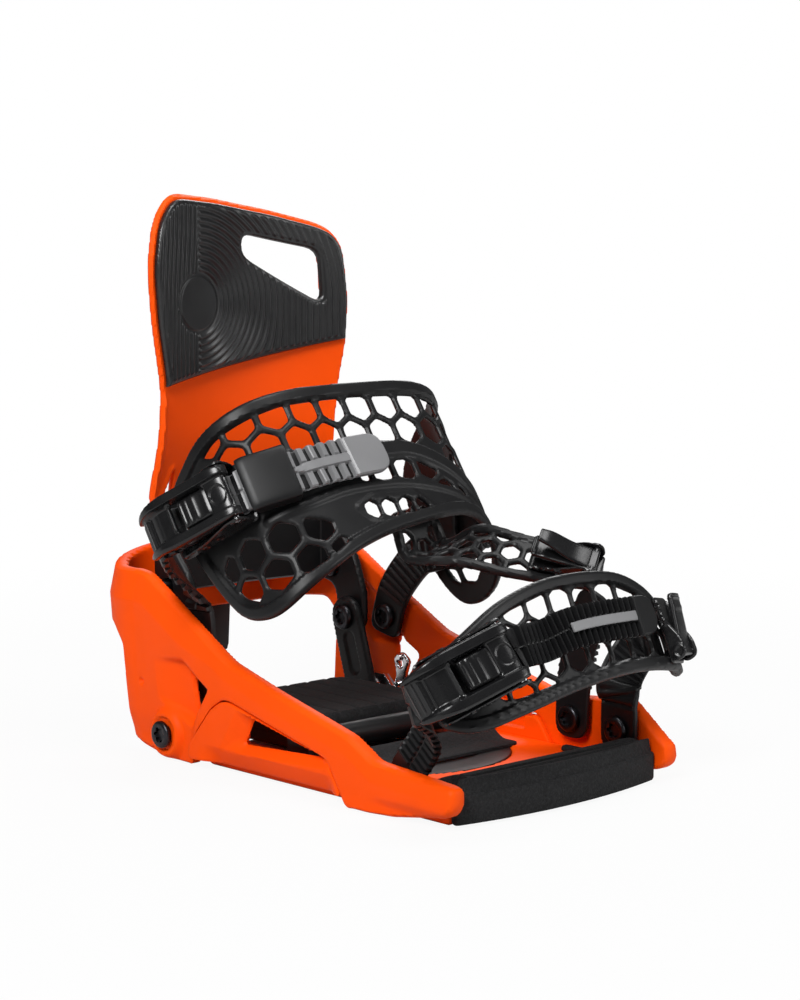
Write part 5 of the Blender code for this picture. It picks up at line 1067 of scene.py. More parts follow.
def link_look(side):
    """A link arm: a bar with round ends, an eye at each end and a long slot sunk into its face."""
    top, foot = np.array(LINK_TOP), np.array(LINK_FOOT)
    span = top - foot

    def bar(u, v, start, end, radius):
        return radius - chain_distance(u, v, [start, end])

    def distance(u, v):
        eyes = np.minimum(np.hypot(u - top[0], v - top[1]) - BOLT_EYE,
                          np.hypot(u - foot[0], v - foot[1]) - PIN_EYE)
        return np.minimum(bar(u, v, foot, top, 9.6), eyes)

    def skin(u, v, d):
        slot = smooth(bar(u, v, foot + 0.32 * span, top - 0.3 * span, 3.6) / 0.9 + 0.5)
        return rounding(d, 0.9) + 1.1 * slot

    return relief(((65.5, 97.5), (7.5, 63.5)), (0.65, 0.65), distance, side_place(side, 48.2), skin,
                  lambda u, v, d: 4.0 - skin(u, v, d))


def skirt_look():
    """Two plain walls that hang from the pedal's sides and close the space under it."""
    loop = soft_corners([(16, 9.6), (60, 9.6), (66, 16.6), (12, 16.6)], 1.2)
    extent = ((11, 67), (9, 17))
    return joined(*(slab(loop, extent, (0.8, 0.7), side_place(side, 41.0), 0.6, 2.6) for side in (-1, 1)))


def latch_plate_look():
    """The latch's polished upright: a waisted plate with a round eye, and two studs across it."""
    loop = soft_corners([(53, 15), (61, 15), (60.5, 22), (58.5, 27), (60.5, 36), (55, 39), (49.5, 35),
                         (52.5, 27), (51, 21)], 2.4)

    def distance(u, v):
        return np.minimum(loop_distance(u, v, loop), np.hypot(u - 55.6, v - 33.0) - 1.8)

    plate = relief(((48, 63), (14, 40)), (0.5, 0.5), distance, side_place(1, 52.0, -1),
                   lambda u, v, d: rounding(d, 0.7), lambda u, v, d: 2.6 - rounding(d, 0.7))
    studs = [pin_look((50.6, y, z), (55.4, y, z), 1.7, 0.5) for y, z in ((56.5, 23.0), (55.6, 36.2))]
    return joined(plate, *studs)


# Straps

def comb_strap(arch, loop, openings, ridges, rim, extent, cell):
    """A moulded strap: a thick round rim along the outline, smooth ridges along given lines, and openings whose
    distance is given, with round struts between them."""
    loop = curve_through(loop, 6 * len(loop), closed=True)

    def distance(u, v):
        return np.minimum(loop_distance(u, v, loop), openings(u, v))

    def outer(u, v, d):
        outline = loop_distance(u, v, loop)
        raised = 1.7 * smooth((rim - outline) / 1.2)
        for line, half, height in ridges:
            raised = np.maximum(raised, height * smooth((half - chain_distance(u, v, line)) / 2.0))
        return 2.3 + raised - rounding(outline, 2.0) - rounding(np.maximum(openings(u, v), 0), 0.8)

    def inner(u, v, d):
        return np.minimum(rounding(d, 0.9), 1.0)

    return relief(extent, (cell, cell), distance, arch.place, outer, inner)


def comb_openings(zones):
    """Distance outside the nearest opening: hexagons of a comb, each kept within its zone of the strap."""
    def openings(u, v):
        best = np.full(u.shape, 9.0)
        for zone, pitch, strut, offset in zones:
            zone = soft_corners(zone, 3.0)
            cu, cv, cells = hexagons(u - offset[0], v - offset[1], pitch, strut)
            wanted = loop_distance(cu + offset[0], cv + offset[1], zone) > -0.22 * pitch
            best = np.minimum(best, np.where(wanted, np.maximum(cells, -loop_distance(u, v, zone)), 9.0))
        return best
    return openings


def ankle_loop():
    """The ankle strap's flat outline, along the arch and along its tilt."""
    rear = [(112, -4), (108, -15), (95, -26), (75, -33), (40, -37.5), (0, -37.5), (-40, -36), (-75, -31),
            (-95, -24), (-108, -17), (-112, -6)]
    front = [(-110, 10), (-106, 26), (-100, 42), (-93, 53), (-82, 59), (-70, 59.5), (-53, 53.5), (-29, 44),
             (0, 37), (40, 33), (58, 41), (74, 56), (90, 61), (104, 56), (112, 40), (114, 20)]
    return rear + front


def toe_loop():
    """The toe strap's flat outline."""
    rear = [(74, 4), (64, -8), (50, -20), (29, -27.5), (-6, -28), (-35, -22), (-57, -12), (-70, -4), (-75, 5)]
    front = [(-77, 18), (-72, 26), (-60, 29), (-40, 26.5), (-6, 21), (29, 18), (60, 19.5), (74, 21), (78, 14)]
    return rear + front


def ladder_look(band, half, teeth_from, pitch, tip, strip):
    """A toothed strap: two columns of wedges with a slot after each, a flat strip between them over a given
    part of the length, and a smooth rounded tip."""
    length = band.length
    loop = soft_corners(rectangle(0, length, -half, half), 8.0, 7)

    def outer(u, v, d):
        saw = np.mod(u - teeth_from, pitch) / pitch
        wedge = smooth((saw - 0.04) / 0.1) * smooth((0.7 - saw) / 0.1) * (1 - 0.45 * saw)
        middle = 2.3 * smooth((u - strip[0]) / 14.0) + 0.2
        column = smooth((np.abs(v) - middle) / 0.5)
        zone = smooth((u - teeth_from) / 1.0) * smooth((length - tip - u) / 0.8)
        plain = 1.0 * smooth((u - length + tip) / 0.8)
        flat = (1.0 * smooth((middle - np.abs(v)) / 0.5) * zone * smooth((u - strip[0]) / 2)
                * smooth((strip[1] - u) / 1))
        valley = 1.9 * column * zone
        return (LADDER_HALF_THICK - valley + (LADDER_TOOTH + 1.9) * wedge * column * zone
                + np.maximum(plain, flat) - rounding(d, 0.8))

    extent = ((-0.5, length + 0.5), (-half - 0.5, half + 0.5))
    return relief(extent, (0.45, 0.6), within(loop), band.place, outer,
                  lambda u, v, d: -LADDER_HALF_THICK + rounding(d, 0.5))


def along_band(band, start, end, height, half_width, half_thick, power, ends):
    """A thin flat bar that follows a band at a height over its middle."""
    share = np.linspace(start, end, 60)
    path = band.place(share, np.zeros(60), np.full(60, height))
    across, normal = band.read(band.across, share), band.read(band.normal, share)
    return loft(path, across, normal, half_width, half_thick, power, 24, ends)


def strip_look(band, start, end):
    """The smooth pale strip let into the middle of the toe ladder's teeth."""
    return along_band(band, start, end, LADDER_HALF_THICK + 0.9, 2.1, 0.6, 6.0, 0.5)


def slot_shade_look(band, half, start, end):
    """A dark sheet under the gaps between a ladder's teeth: painted shade for the shadow in them."""
    return along_band(band, start, end, LADDER_HALF_THICK - 1.55, half - 0.6, 0.35, 8.0, 0.3)


def anchor_strap_look(band, ribs_from, ribs_to):
    """A plain strap with cross ribs of even pitch on its outer face."""
    length = band.length
    loop = soft_corners(rectangle(0, length, -10, 10), 6.0, 6)

    def distance(u, v):
        return np.minimum(loop_distance(u, v, loop), np.hypot(u - 9.1, v) - 3.4)

    def ribs(u, v):
        wave = 0.5 + 0.5 * np.cos(2 * math.pi * u / 3.4)
        zone = smooth((u - ribs_from) / 2) * smooth((ribs_to - u) / 2) * smooth((9.2 - np.abs(v)) / 0.8)
        return 1.0 * wave ** 2 * zone

    def outer(u, v, d):
        return 1.5 - rounding(d, 0.8) - ribs(u, v)

    def inner(u, v, d):
        return -1.5 + rounding(d, 0.6) + ribs(u, v)

    return relief(((-0.5, length + 0.5), (-10.5, 10.5)), (0.5, 0.7), distance, band.place, outer, inner)


def front_arm_look(band):
    """The arm between the ankle strap and the front ladder: a tapering comb with a raised rim, and its boss."""
    length = band.length
    shape = [(0, -12), (0.3, -16), (0.6, -13), (1, -10), (1, 10), (0.6, 13), (0.3, 17), (0, 15)]
    loop = soft_corners([(share * length, v) for share, v in shape], 7.0)
    rim = 4.2

    def parts(u, v):
        outline = loop_distance(u, v, loop)
        cu, cv, cells = hexagons(u - 3.2, v + 8.1, 11.0, 2.9)
        cu, cv = cu + 3.2, cv - 8.1
        wanted = (cu > 10) & (cu < 0.74 * length) & (loop_distance(cu, cv, loop) > 2.0)
        return outline, np.maximum(np.where(wanted, cells, 9.0), rim - outline)

    def outer(u, v, d):
        outline, cells = parts(u, v)
        return (1.2 + 1.2 * smooth((rim - outline) / 1.0) - rounding(outline, 1.3)
                - rounding(np.maximum(cells, 0), 0.8))

    plate = relief(((-0.5, length + 0.5), (-18, 18)), (0.7, 0.7), lambda u, v: np.minimum(*parts(u, v)),
                   band.place, outer, lambda u, v, d: -1.5 + rounding(d, 0.8))
    base = ANKLE.place(13.0, 29.0, -8.0)
    boss = lathe([(4.6, 0), (4.0, 1.5), (4.0, 7.2), (3.6, 7.5)], base, ANKLE.out, 32)
    return joined(plate, boss)


# Buckles

PIN = (15.0, 12.0)


def lever_look(local):
    """A ratchet lever: a plate bent over the buckle, with raised side rails, a round dimple in its end
    plate, a window for the trigger, and a dished and ribbed grip."""
    path = [(18.6, 13.4), (17.4, 15.6), (13.5, 17.0), (6, 17.3), (-4, 17.7), (-14, 18.4), (-20, 18.0),
            (-25.5, 15.0), (-29.5, 10.5), (-31.6, 6.6)]
    band = Band([local.point(a, 0, c) for a, c in path], (local.second, local.second), local.third)
    length = band.length
    loop = soft_corners([(0, -12.5), (length * 0.62, -12.5), (length, -9.6), (length, 9.6),
                         (length * 0.62, 12.5), (0, 12.5)], 6.0)
    window = soft_corners(rectangle(13.5, 31, -7.0, 7.0), 2.0)

    def outer(u, v, d):
        rail = 2.0 * smooth((np.abs(v) - 7.4) / 0.8)
        dimple = 0.5 * smooth((4.6 - np.hypot(u - 7.6, v)) / 0.5)
        dish = 1.5 * smooth((u - 31.5) / 2) * smooth((length - 8 - u) / 3) * smooth((7.4 - np.abs(v)) / 1.0)
        ribs = (0.4 * np.maximum(0, np.cos(2 * math.pi * u / 3.0)) * smooth((u - length + 14) / 2)
                * smooth((7.5 - np.abs(v)) / 2))
        return -1.6 + rail - rounding(d, 1.3) - dish + ribs - dimple

    def inner(u, v, d):
        thin = 1.6 * smooth((13.0 - u) / 1.0) * smooth((7.6 - np.abs(v)) / 0.6)
        walls = 4.2 * smooth((np.abs(v) - 10.3) / 0.4) * smooth((u - 3) / 3) * smooth((length * 0.66 - u) / 10)
        return -4.0 + rounding(d, 0.7) + 0.8 * smooth((u - length + 16) / 10) + thin - walls

    extent = ((-0.5, length + 0.5), (-13, 13))
    plate = relief(extent, (0.45, 0.45), within(loop, window), band.place, outer, inner)
    hub = [(2.2, -2.3), (3.2, -2.3), (3.8, -1.9), (3.8, 1.9), (3.2, 2.3), (2.2, 2.3)]
    hubs = [lathe(hub, local.point(PIN[0], side * 10.0, PIN[1]), local.second, 40) for side in (-1, 1)]
    return joined(plate, *hubs)


def trigger_look(local):
    """The sprung trigger in the lever's window: a short thick tongue with three grip ridges."""
    path = curve_through([(PIN[0] + 1.0, PIN[1]), (PIN[0] - 4, PIN[1] + 0.4), (0, 13.2), (-6.4, 12.8)], 40)
    share = np.linspace(0, 1, 40)
    ridge = 0.35 * np.maximum(0, np.cos(share * 2 * math.pi * 6)) * (share > 0.45)
    thick = np.interp(share, [0, 0.3, 0.5, 1], [1.6, 1.5, 2.3, 2.9]) + ridge
    points = local.point(path[:, 0], 0, path[:, 1])
    return loft(points, local.second, local.third, 6.7, thick, 5.0, 32, 1.2)


def buckle_base_look(local, length=BUCKLE_LENGTH, half=BUCKLE_HALF, pin=PIN, radius=1.6, wall=1.6):
    """A buckle's base: a floor and two cheeks with a boss round the pin."""
    end = length / 2
    floor_loop = soft_corners(rectangle(-end, end, -half + 0.8, half - 0.8), 2.0)
    floor = relief(((-end - 0.5, end + 0.5), (-half, half)), (0.8, 0.8), within(floor_loop), local.point,
                   lambda u, v, d: wall - rounding(d, 0.5), lambda u, v, d: rounding(d, 0.5))
    a, c = pin
    top = c + radius * 2
    cheek = soft_corners([(-end + 2, wall * 0.3), (end - 2, wall * 0.3), (min(a + 4, end), c - 2),
                          (a + 2, top), (a - 5, top), (-end * 0.3, c * 0.6), (-end + 1, c * 0.45)], 3.0)

    def skin(u, v, d):
        boss = 0.5 * smooth((3.6 - np.hypot(u - a, v - c)) / 0.8)
        rivet = np.minimum(np.hypot(u - a + 14, v - c * 0.36), np.hypot(u - a + 22, v - c * 0.3))
        raised = 0.5 * smooth((1.9 - rivet) / 0.3) - 0.5 * smooth((1.0 - rivet) / 0.3)
        eye = 0.5 * smooth((1.9 - np.hypot(u - a, v - c)) / 0.3)
        return rounding(d, 0.5) + 0.5 - np.maximum(boss - eye, raised)

    cheeks = [relief(((-end, end + 0.5), (0, top + 0.5)), (0.55, 0.55), within(cheek),
                     lambda u, v, e, side=side: local.point(u, side * (half - e), v),
                     skin, lambda u, v, d: wall - rounding(d, 0.3)) for side in (-1, 1)]
    return joined(floor, *cheeks)


def pin_look(start, end, radius, dome=0.5, sides=32):
    """A round pin with bevelled ends between two points."""
    start, end = np.asarray(start, float), np.asarray(end, float)
    length = np.linalg.norm(end - start)
    profile = [(radius * 0.4, 0), (radius - dome, 0), (radius, dome), (radius, length - dome),
               (radius - dome, length), (radius * 0.4, length)]
    return lathe(profile, start, end - start, sides)


def clamp_lever_look(local, length, leaf=False):
    """A flip lever: a thin blade that rises towards its tip, ribbed on top, with trunnions at its root and,
    where wanted, a second leaf that stands up from it."""
    pin = (length / 2 - 4, 5.5)
    path = curve_through([(pin[0] + 1.0, 5.4), (pin[0] - 5, 5.6), (0, 6.3), (-length / 2 + 3, 7.4),
                          (-length / 2 + 1, 7.7)], 60)
    share = np.linspace(0, 1, 60)
    ridge = 0.3 * np.maximum(0, np.cos(share * 2 * math.pi * 9)) * (share > 0.62)
    thick = np.interp(share, [0, 0.2, 1], [1.7, 1.4, 1.2]) + ridge
    wide = np.interp(share, [0, 0.5, 0.9, 1], [6.3, 6.3, 5.6, 4.8])
    blade = loft(local.point(path[:, 0], 0, path[:, 1]), local.second, local.third, wide, thick, 4.5, 28, 0.8)
    axle = pin_look(local.point(pin[0], -8.2, pin[1]), local.point(pin[0], 8.2, pin[1]), 1.5, 0.3, 24)
    if not leaf:
        return joined(blade, axle)
    path = [(pin[0] - 2.0, 6.4), (pin[0] - 10, 8.8), (pin[0] - 19, 13.6), (pin[0] - 24, 15.2)]
    path = curve_through(path, 40)
    wide = np.linspace(6.0, 3.4, 40)
    second = loft(local.point(path[:, 0], 0, path[:, 1]), local.second, local.third, wide, 1.1, 4.5, 28, 0.8)
    return joined(blade, axle, second)


def keeper_look(band):
    """A loop round the ladder: a rounded box section, carried round as one band."""
    start = band.length_at(ANKLE_BUCKLE.point(BUCKLE_LENGTH / 2, 0, LADDER_IN_BUCKLE)) + 2.5
    end = start + 20.0
    inner_v, low, high = 10.8, -1.9, 3.8
    turn = circle(96)
    across, upward = bulged(np.cos(turn), 0.32), bulged(np.sin(turn), 0.32)
    v = (inner_v + 0.2) * across
    e = (low + high) / 2 + (high - low) / 2 * upward
    wall = np.where(upward < -0.8, 0.8, 1.7)
    section = soft_corners(rectangle(0, 1, 0, 1), 0.1, 5)
    rows = []
    for depth, share in section:
        u = np.full(turn.shape, start + (end - start) * share)
        rows.append(band.place(u, v + across * wall * depth, e + upward * wall * depth))
    verts = np.stack(rows, 1)
    return verts.reshape(-1, 3), [grid_faces(len(turn), len(section), closed_rows=True)]


# Fasteners

def node_box(node):
    """Lowest and highest corner and middle of a CAD node, in millimetres."""
    low, high = (np.array(corner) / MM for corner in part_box(node))
    return low, high, (low + high) / 2


def bolt_look(node, axis_sign, shank, head_radius, head, lobe=0.14, recess=0.52):
    """A bolt along X, with its head at the end that axis_sign names: rounded head and six-lobed recess."""
    low, high, centre = node_box(node)
    length = high[0] - low[0]
    base = np.array([low[0] if axis_sign > 0 else high[0], centre[1], centre[2]])
    depth = min(head * 0.7, 1.8)
    hollow = head_radius * recess
    profile = [(shank * 0.5, 0), (shank - 0.3, 0), (shank, 0.4), (shank, length - head),
               (head_radius - 0.25, length - head), (head_radius, length - head + 0.25),
               (head_radius, length - 0.9), (head_radius - 0.35, length - 0.3), (head_radius - 1.0, length),
               (hollow + 0.35, length), (hollow, length - 0.2, lobe), (hollow, length - depth, lobe),
               (head_radius * 0.2, length - depth - 0.1)]
    return lathe(profile, base, (axis_sign, 0, 0), 72)


def node_pin_look(node, radius, dome=0.4):
    """A pin along X in place of a node."""
    low, high, (_, y, z) = node_box(node)
    return pin_look((low[0], y, z), (high[0], y, z), radius, dome)


# Bolts in pairs: node, way the head faces, shank, head radius and height, body
BOLTS = (("hoop_screw", 1, 3.0, 6.2, 2.2, "base"), ("link_bolt", -1, 3.2, 6.0, 2.5, "highback"),
         ("highback_pivot", -1, 3.2, 4.6, 2.5, "base"), ("ankle_anchor_bolt", -1, 3.0, 6.0, 2.4, "base"),
         ("toe_anchor_bolt", -1, 3.0, 6.0, 2.4, "base"))


# Stage

CAMERA_TARGET = (0, 0, 0.1206)
CAMERA_TURN = 43.08
CAMERA_LIFT = 6.38
CAMERA_DISTANCE = 1.05
CAMERA_LENS = 85.05
SENSOR = 36.0


def area_light(name, place, target, size, power):
    """A soft light that faces a target."""
    data = bpy.data.lights.new(name, "AREA")
    data.shape = "RECTANGLE"
    data.size, data.size_y = size
    data.energy = power
    item = bpy.data.objects.new(name, data)
    item.location = place
    item.rotation_euler = (Vector(target) - Vector(place)).to_track_quat("-Z", "Y").to_euler()
    bpy.context.scene.collection.objects.link(item)
    return item


def pale_floor(colour):
    """A floor that looks nearly white to the camera and pale to everything else."""
    mesh = bpy.data.meshes.new("studio_floor")
    reach = 6.0
    mesh.from_pydata([(-reach, -reach, 0), (reach, -reach, 0), (reach, reach, 0), (-reach, reach, 0)], [],
                     [(0, 1, 2, 3)])
    material = bpy.data.materials.new("studio_floor")
    material.use_nodes = True
    tree = material.node_tree
    tree.nodes.clear()
    out = add_node(tree, "OutputMaterial")
    paint = add_node(tree, "BsdfDiffuse", {"Color": (*colour, 1)})
    glow = add_node(tree, "Emission", {"Color": (1, 1, 1, 1)})
    path = add_node(tree, "LightPath")
    seen = add_node(tree, "Math", operation="MULTIPLY")
    place = add_node(tree, "TexCoord")
    far = add_node(tree, "VectorMath", operation="LENGTH")
    share = add_node(tree, "MapRange", {"From Min": 0.2, "From Max": 0.75, "To Min": 0.93, "To Max": 1.0},
                     interpolation_type="SMOOTHSTEP")
    mix = add_node(tree, "MixShader")
    tree.links.new(place.outputs["Object"], far.inputs[0])
    tree.links.new(far.outputs["Value"], share.inputs["Value"])
    tree.links.new(share.outputs["Result"], seen.inputs[1])
    tree.links.new(path.outputs["Is Camera Ray"], seen.inputs[0])
    tree.links.new(seen.outputs[0], mix.inputs["Fac"])
    tree.links.new(paint.outputs[0], mix.inputs[1])
    tree.links.new(glow.outputs[0], mix.inputs[2])
    tree.links.new(mix.outputs[0], out.inputs["Surface"])
    mesh.materials.append(material)
    floor = bpy.data.objects.new("studio_floor", mesh)
    floor.location = (0, 0, CAD_BOX[0][2] - 0.0004)
    bpy.context.scene.collection.objects.link(floor)


def studio_world():
    """A world that is white to the camera and dim as a light."""
    world = bpy.data.worlds.new("studio")
    bpy.context.scene.world = world
    world.use_nodes = True
    tree = world.node_tree
    back = tree.nodes["Background"]
    path = add_node(tree, "LightPath")
    level = add_node(tree, "MapRange", {"To Min": 0.13, "To Max": 1.0})
    tree.links.new(path.outputs["Is Camera Ray"], level.inputs["Value"])
    tree.links.new(level.outputs["Result"], back.inputs["Strength"])
    back.inputs["Color"].default_value = (1, 1, 1, 1)


# The add-on

class BindingLooks(bpy.types.PropertyGroup):
    """Colours of the binding's finishes."""
    orange: FloatVectorProperty(
        name="Orange", description="Colour of hoop, base and highback",
        subtype="COLOR", size=3, min=0, max=1, default=(0.95, 0.08, 0.001))
    black: FloatVectorProperty(
        name="Black", description="Colour of straps, buckles and cradle",
        subtype="COLOR", size=3, min=0, max=1, default=(0.0055, 0.0055, 0.006))
    foam: FloatVectorProperty(
        name="Foam", description="Colour of the pads",
        subtype="COLOR", size=3, min=0, max=1, default=(0.0075, 0.0075, 0.008))
    ladder: FloatVectorProperty(
        name="Ladder", description="Colour of the toothed straps",
        subtype="COLOR", size=3, min=0, max=1, default=(0.19, 0.19, 0.195))
    floor: FloatVectorProperty(
        name="Floor", description="Colour of the studio floor",
        subtype="COLOR", size=3, min=0, max=1, default=(0.6, 0.6, 0.6))


class BindingSizes(bpy.types.PropertyGroup):
    """Sizes of the moulded details."""
    edge_radius: FloatProperty(
        name="Edge Radius", description="Rounding of the hoop's edges in millimetres",
        default=1.7, min=0.5, max=4.0)
    shell_rim: FloatProperty(
        name="Shell Rim", description="Rounding of the highback's edge in millimetres",
        default=1.9, min=0.3, max=1.95)
    rib_pitch: FloatProperty(
        name="Rib Pitch", description="Distance between the pad's ridges in millimetres",
        default=3.2, min=1.5, max=6)
    rib_depth: FloatProperty(
        name="Rib Depth", description="Height of the pad's ridges in millimetres",
        default=1.1, min=0, max=1.2)
    comb_pitch: FloatProperty(
        name="Comb Pitch", description="Distance between the ankle strap's holes in millimetres",
        default=16.0, min=6, max=20)
    toe_pitch: FloatProperty(
        name="Toe Pitch", description="Distance between the toe strap's holes in millimetres",
        default=14.0, min=6, max=20)
    comb_strut: FloatProperty(
        name="Comb Strut", description="Width of the bars between the holes in millimetres",
        default=3.1, min=1, max=5)
    strap_rim: FloatProperty(
        name="Strap Rim", description="Width of the straps' raised rim in millimetres",
        default=6.8, min=2, max=8)
    tooth_pitch: FloatProperty(
        name="Tooth Pitch", description="Distance between the grey ladder's teeth in millimetres",
        default=6.0, min=2, max=8)
    fine_pitch: FloatProperty(
        name="Fine Pitch", description="Distance between the black ladders' teeth in millimetres",
        default=3.6, min=2, max=8)
    steps: IntProperty(
        name="Spring Steps", description="Points in each turn of the latch spring",
        default=40, min=12, max=80)


class BINDING_OT_hoop(bpy.types.Operator):
    """Hoop frame with its lugs, side panels, floor and disc"""
    bl_idname = "binding.hoop"
    bl_label = "Hoop and Base"

    def execute(self, context):
        sizes = context.scene.binding_sizes
        hoop = joined(hoop_look(sizes.edge_radius), release_lug(-1), release_lug(1))
        dress("hoop_frame_look", hoop, "orange", "base")
        dress("base_plate_look", joined(floor_look(), panel_look(-1), panel_look(1)), "orange", "base")
        dress("base_plate_ear_look", joined(ear_look(-1), ear_look(1)), "black", "base", "base_plate")
        disc = [(2.0, 0), (45.6, 0), (46.0, 0.4), (46.0, 4.3), (49.6, 4.3), (50.0, 4.7), (50.0, 7.3),
                (49.6, 7.7), (36.0, 7.7), (35.4, 7.2), (12.0, 7.2), (11.4, 7.7), (2.0, 7.7)]
        dress("mounting_disc_look", lathe(disc, (0, 0, 0), (0, 0, 1), 96), "black", "disc")
        return {"FINISHED"}


class BINDING_OT_foam(bpy.types.Operator):
    """Foam pads under the foot and the bumper across the toe"""
    bl_idname = "binding.foam"
    bl_label = "Foam Pads"

    def execute(self, context):
        loop = soft_corners(rectangle(-47.5, 47.5, -30, -8), 6.0, 8)

        def wedge(u, v):
            return 14.8 - 5.2 * smooth((-9.0 - v) / 12.0)

        pad = foam_block(loop, 8.3, wedge, 0.4, 1.4, 0.8, ((-49, 49), (-31, -7)))
        dress("footbed_pad_look", pad, "foam", "base")
        loop = soft_corners(rectangle(-36, 36, 12.5, 79), 11.0, 8)

        def grooved(u, v):
            return 26.8 - 0.7 * np.maximum(0, np.cos(2 * math.pi * u / 12.0)) ** 8

        pad = foam_block(loop, 20.8, grooved, 0.4, 2.0, 1.0, ((-37, 37), (11, 80)))
        dress("pedal_pad_look", pad, "foam", "pedal")

        def bumper_top(u, v, d):
            return 13.4 - rounding(d, 0.9) + 6.2 * smooth((d - 1.2) / 1.1) - 0.7 * smooth((d - 3.6) / 1.2)

        outline = soft_corners(bumper_loop(), 2.5)
        block = relief(((-62, 62), (-107, -93)), (0.6, 0.6), within(outline), plan_place, bumper_top,
                       lambda u, v, d: 0.8 + rounding(d, 1.4))

        def arm_top(u, v):
            return 19.6 - 8.6 * smooth((v + 93) / 32)

        arms = []
        for side in (-1, 1):
            arm = soft_corners(rectangle(side * 48.4, side * 52.9, -97, -53), 1.6)
            across = tuple(sorted((side * 47.5, side * 54)))
            arms.append(foam_block(arm, 8.3, arm_top, 0.0, 1.2, 0.6, (across, (-98, -52))))
        ledge = soft_corners(rectangle(-52.5, 52.5, -95.3, -89.8), 1.6)
        ledge_extent = ((-54, 54), (-96, -89))
        arms.append(foam_block(ledge, 8.3, lambda u, v: np.full(u.shape, 20.0), 0.0, 1.2, 0.7, ledge_extent))
        dress("toe_bumper_look", joined(block, *arms), "foam", "base")
        return {"FINISHED"}


class BINDING_OT_highback(bpy.types.Operator):
    """Highback shell, its ribbed pad and the cradle behind the heel"""
    bl_idname = "binding.highback"
    bl_label = "Highback"

    def execute(self, context):
        sizes = context.scene.binding_sizes
        dress("highback_shell_look", shell_look(sizes.shell_rim), "orange", "highback")
        pad = pad_look(sizes.rib_pitch, sizes.rib_depth)
        dress("highback_pad_look", pad, "eva", "highback", sharp=60.0)
        dress("highback_cradle_look", cradle_look(), "black", "highback")
        return {"FINISHED"}


class BINDING_OT_linkage(bpy.types.Operator):
    """Link arms, heel pedal, latch, its spring and the release lever"""
    bl_idname = "binding.linkage"
    bl_label = "Linkage"

    def execute(self, context):
        sizes = context.scene.binding_sizes
        dress("link_arm_outer_look", link_look(-1), "black", "link_outer")
        dress("link_arm_inner_look", link_look(1), "black", "link_inner")
        round_copy("heel_pedal", "black", "pedal", 0.9)
        dress("heel_pedal_skirt_look", skirt_look(), "black", "pedal", "heel_pedal")
        round_copy("latch_hook", "steel", "latch", 0.5)
        dress("latch_plate_look", latch_plate_look(), "steel", "latch", "latch_hook")
        round_copy("release_lever", "black", "release", 0.9)
        turn = np.linspace(0, 4 * math.pi, 2 * sizes.steps + 1)
        y, z = LATCH_AXIS
        coil = np.stack([54.7 + 1.7 * turn / (2 * math.pi), y + 3.6 * np.cos(turn), z + 3.6 * np.sin(turn)], 1)
        dress("latch_spring_look", tube(coil, 0.6), "steel", "base")
        return {"FINISHED"}


class BINDING_OT_straps(bpy.types.Operator):
    """Ankle and toe straps, the front arm and the anchor straps"""
    bl_idname = "binding.straps"
    bl_label = "Straps"

    def execute(self, context):
        sizes = context.scene.binding_sizes
        rim, strut = sizes.strap_rim, sizes.comb_strut
        grid = (sizes.comb_pitch, strut, (-109.5, -25.4))
        upper = [(-92, -17), (-75, -24), (-40, -29), (0, -30.5), (38, -30), (70, -26), (72, 10), (60, 14),
                 (54, 11), (41, 1), (22, -6.5), (6, -7.5), (-20, -7.5), (-46, -6.5), (-68, -7), (-74, -13)]
        middle = [(-14, 3), (21, 3), (38, 12), (50, 22), (44, 24), (40, 19.5), (12, 12.5), (-14, 12.5)]
        lobe = [(-97, 28), (-90, 23.5), (-66, 22.5), (-50, 25), (-39, 29), (-33.5, 39), (-46, 45.5),
                (-58, 49.5), (-70, 52.5), (-80, 52), (-90, 45)]
        far_lobe = [(64, 35), (74, 29), (78, 42), (98, 42), (101, 30), (106, 30), (105, 42), (98, 50), (88, 54),
                    (77, 51), (68, 45)]
        plate = [(-22, 25), (-11, 20.5), (12.5, 21), (20, 28), (-8.5, 33), (-18, 29.5)]
        zones = [(upper, *grid), (lobe, *grid), (far_lobe, *grid), (middle, 14.0, strut, (0.0, 8.0)),
                 (plate, 10.5, 2.0, (-15.0, 26.5))]
        ridge = curve_through([(-64, -3), (-20, -2.5), (6, -2.3), (22, -1.5), (41, 7), (56, 19), (68, 30)], 40)
        shoulder = curve_through([(-64, 21), (-46, 19), (-20.5, 15), (12, 15), (42, 22.5), (56, 33)], 40)
        frame_line = plate + plate[:1]
        ridges = [(ridge, 4.6, 1.3), (shoulder, 3.0, 1.0), (frame_line, 3.0, 0.7)]
        extent = ((-116, 116), (-39, 64))
        ankle = comb_strap(ANKLE, ankle_loop(), comb_openings(zones), ridges, rim, extent, 0.7)
        dress("ankle_strap_look", ankle, "strap", "ankle")
        open_part = [(-46, -11), (-33, -16.5), (-6, -22.5), (29, -22), (48, -15), (58, -6), (67, 4), (66, 13),
                     (29, 11.5), (-6, 14.5), (-40, 19.5), (-50, 18.5)]
        zones = [(open_part, sizes.toe_pitch, 2.3, (-72.5, -17.0))]
        groove = curve_through([(-66, 27), (-40, 23.6), (-6, 18.2), (29, 15.2), (60, 17)], 40)
        toe = comb_strap(TOE, toe_loop(), comb_openings(zones), [(groove, 1.6, 2.3)], rim - 0.8,
                         ((-79, 80), (-30, 34)), 0.65)
        dress("toe_strap_look", toe, "strap", "toe")
        dress("ankle_front_arm_look", front_arm_look(front_arm_band()), "strap", "ankle")
        dress("ankle_anchor_strap_look", anchor_strap_look(ankle_anchor_band(), 18.0, 60.0), "black", "ankle")
        dress("toe_anchor_strap_look", anchor_strap_look(toe_anchor_band(), 18.0, 60.0), "black", "toe")
        return {"FINISHED"}


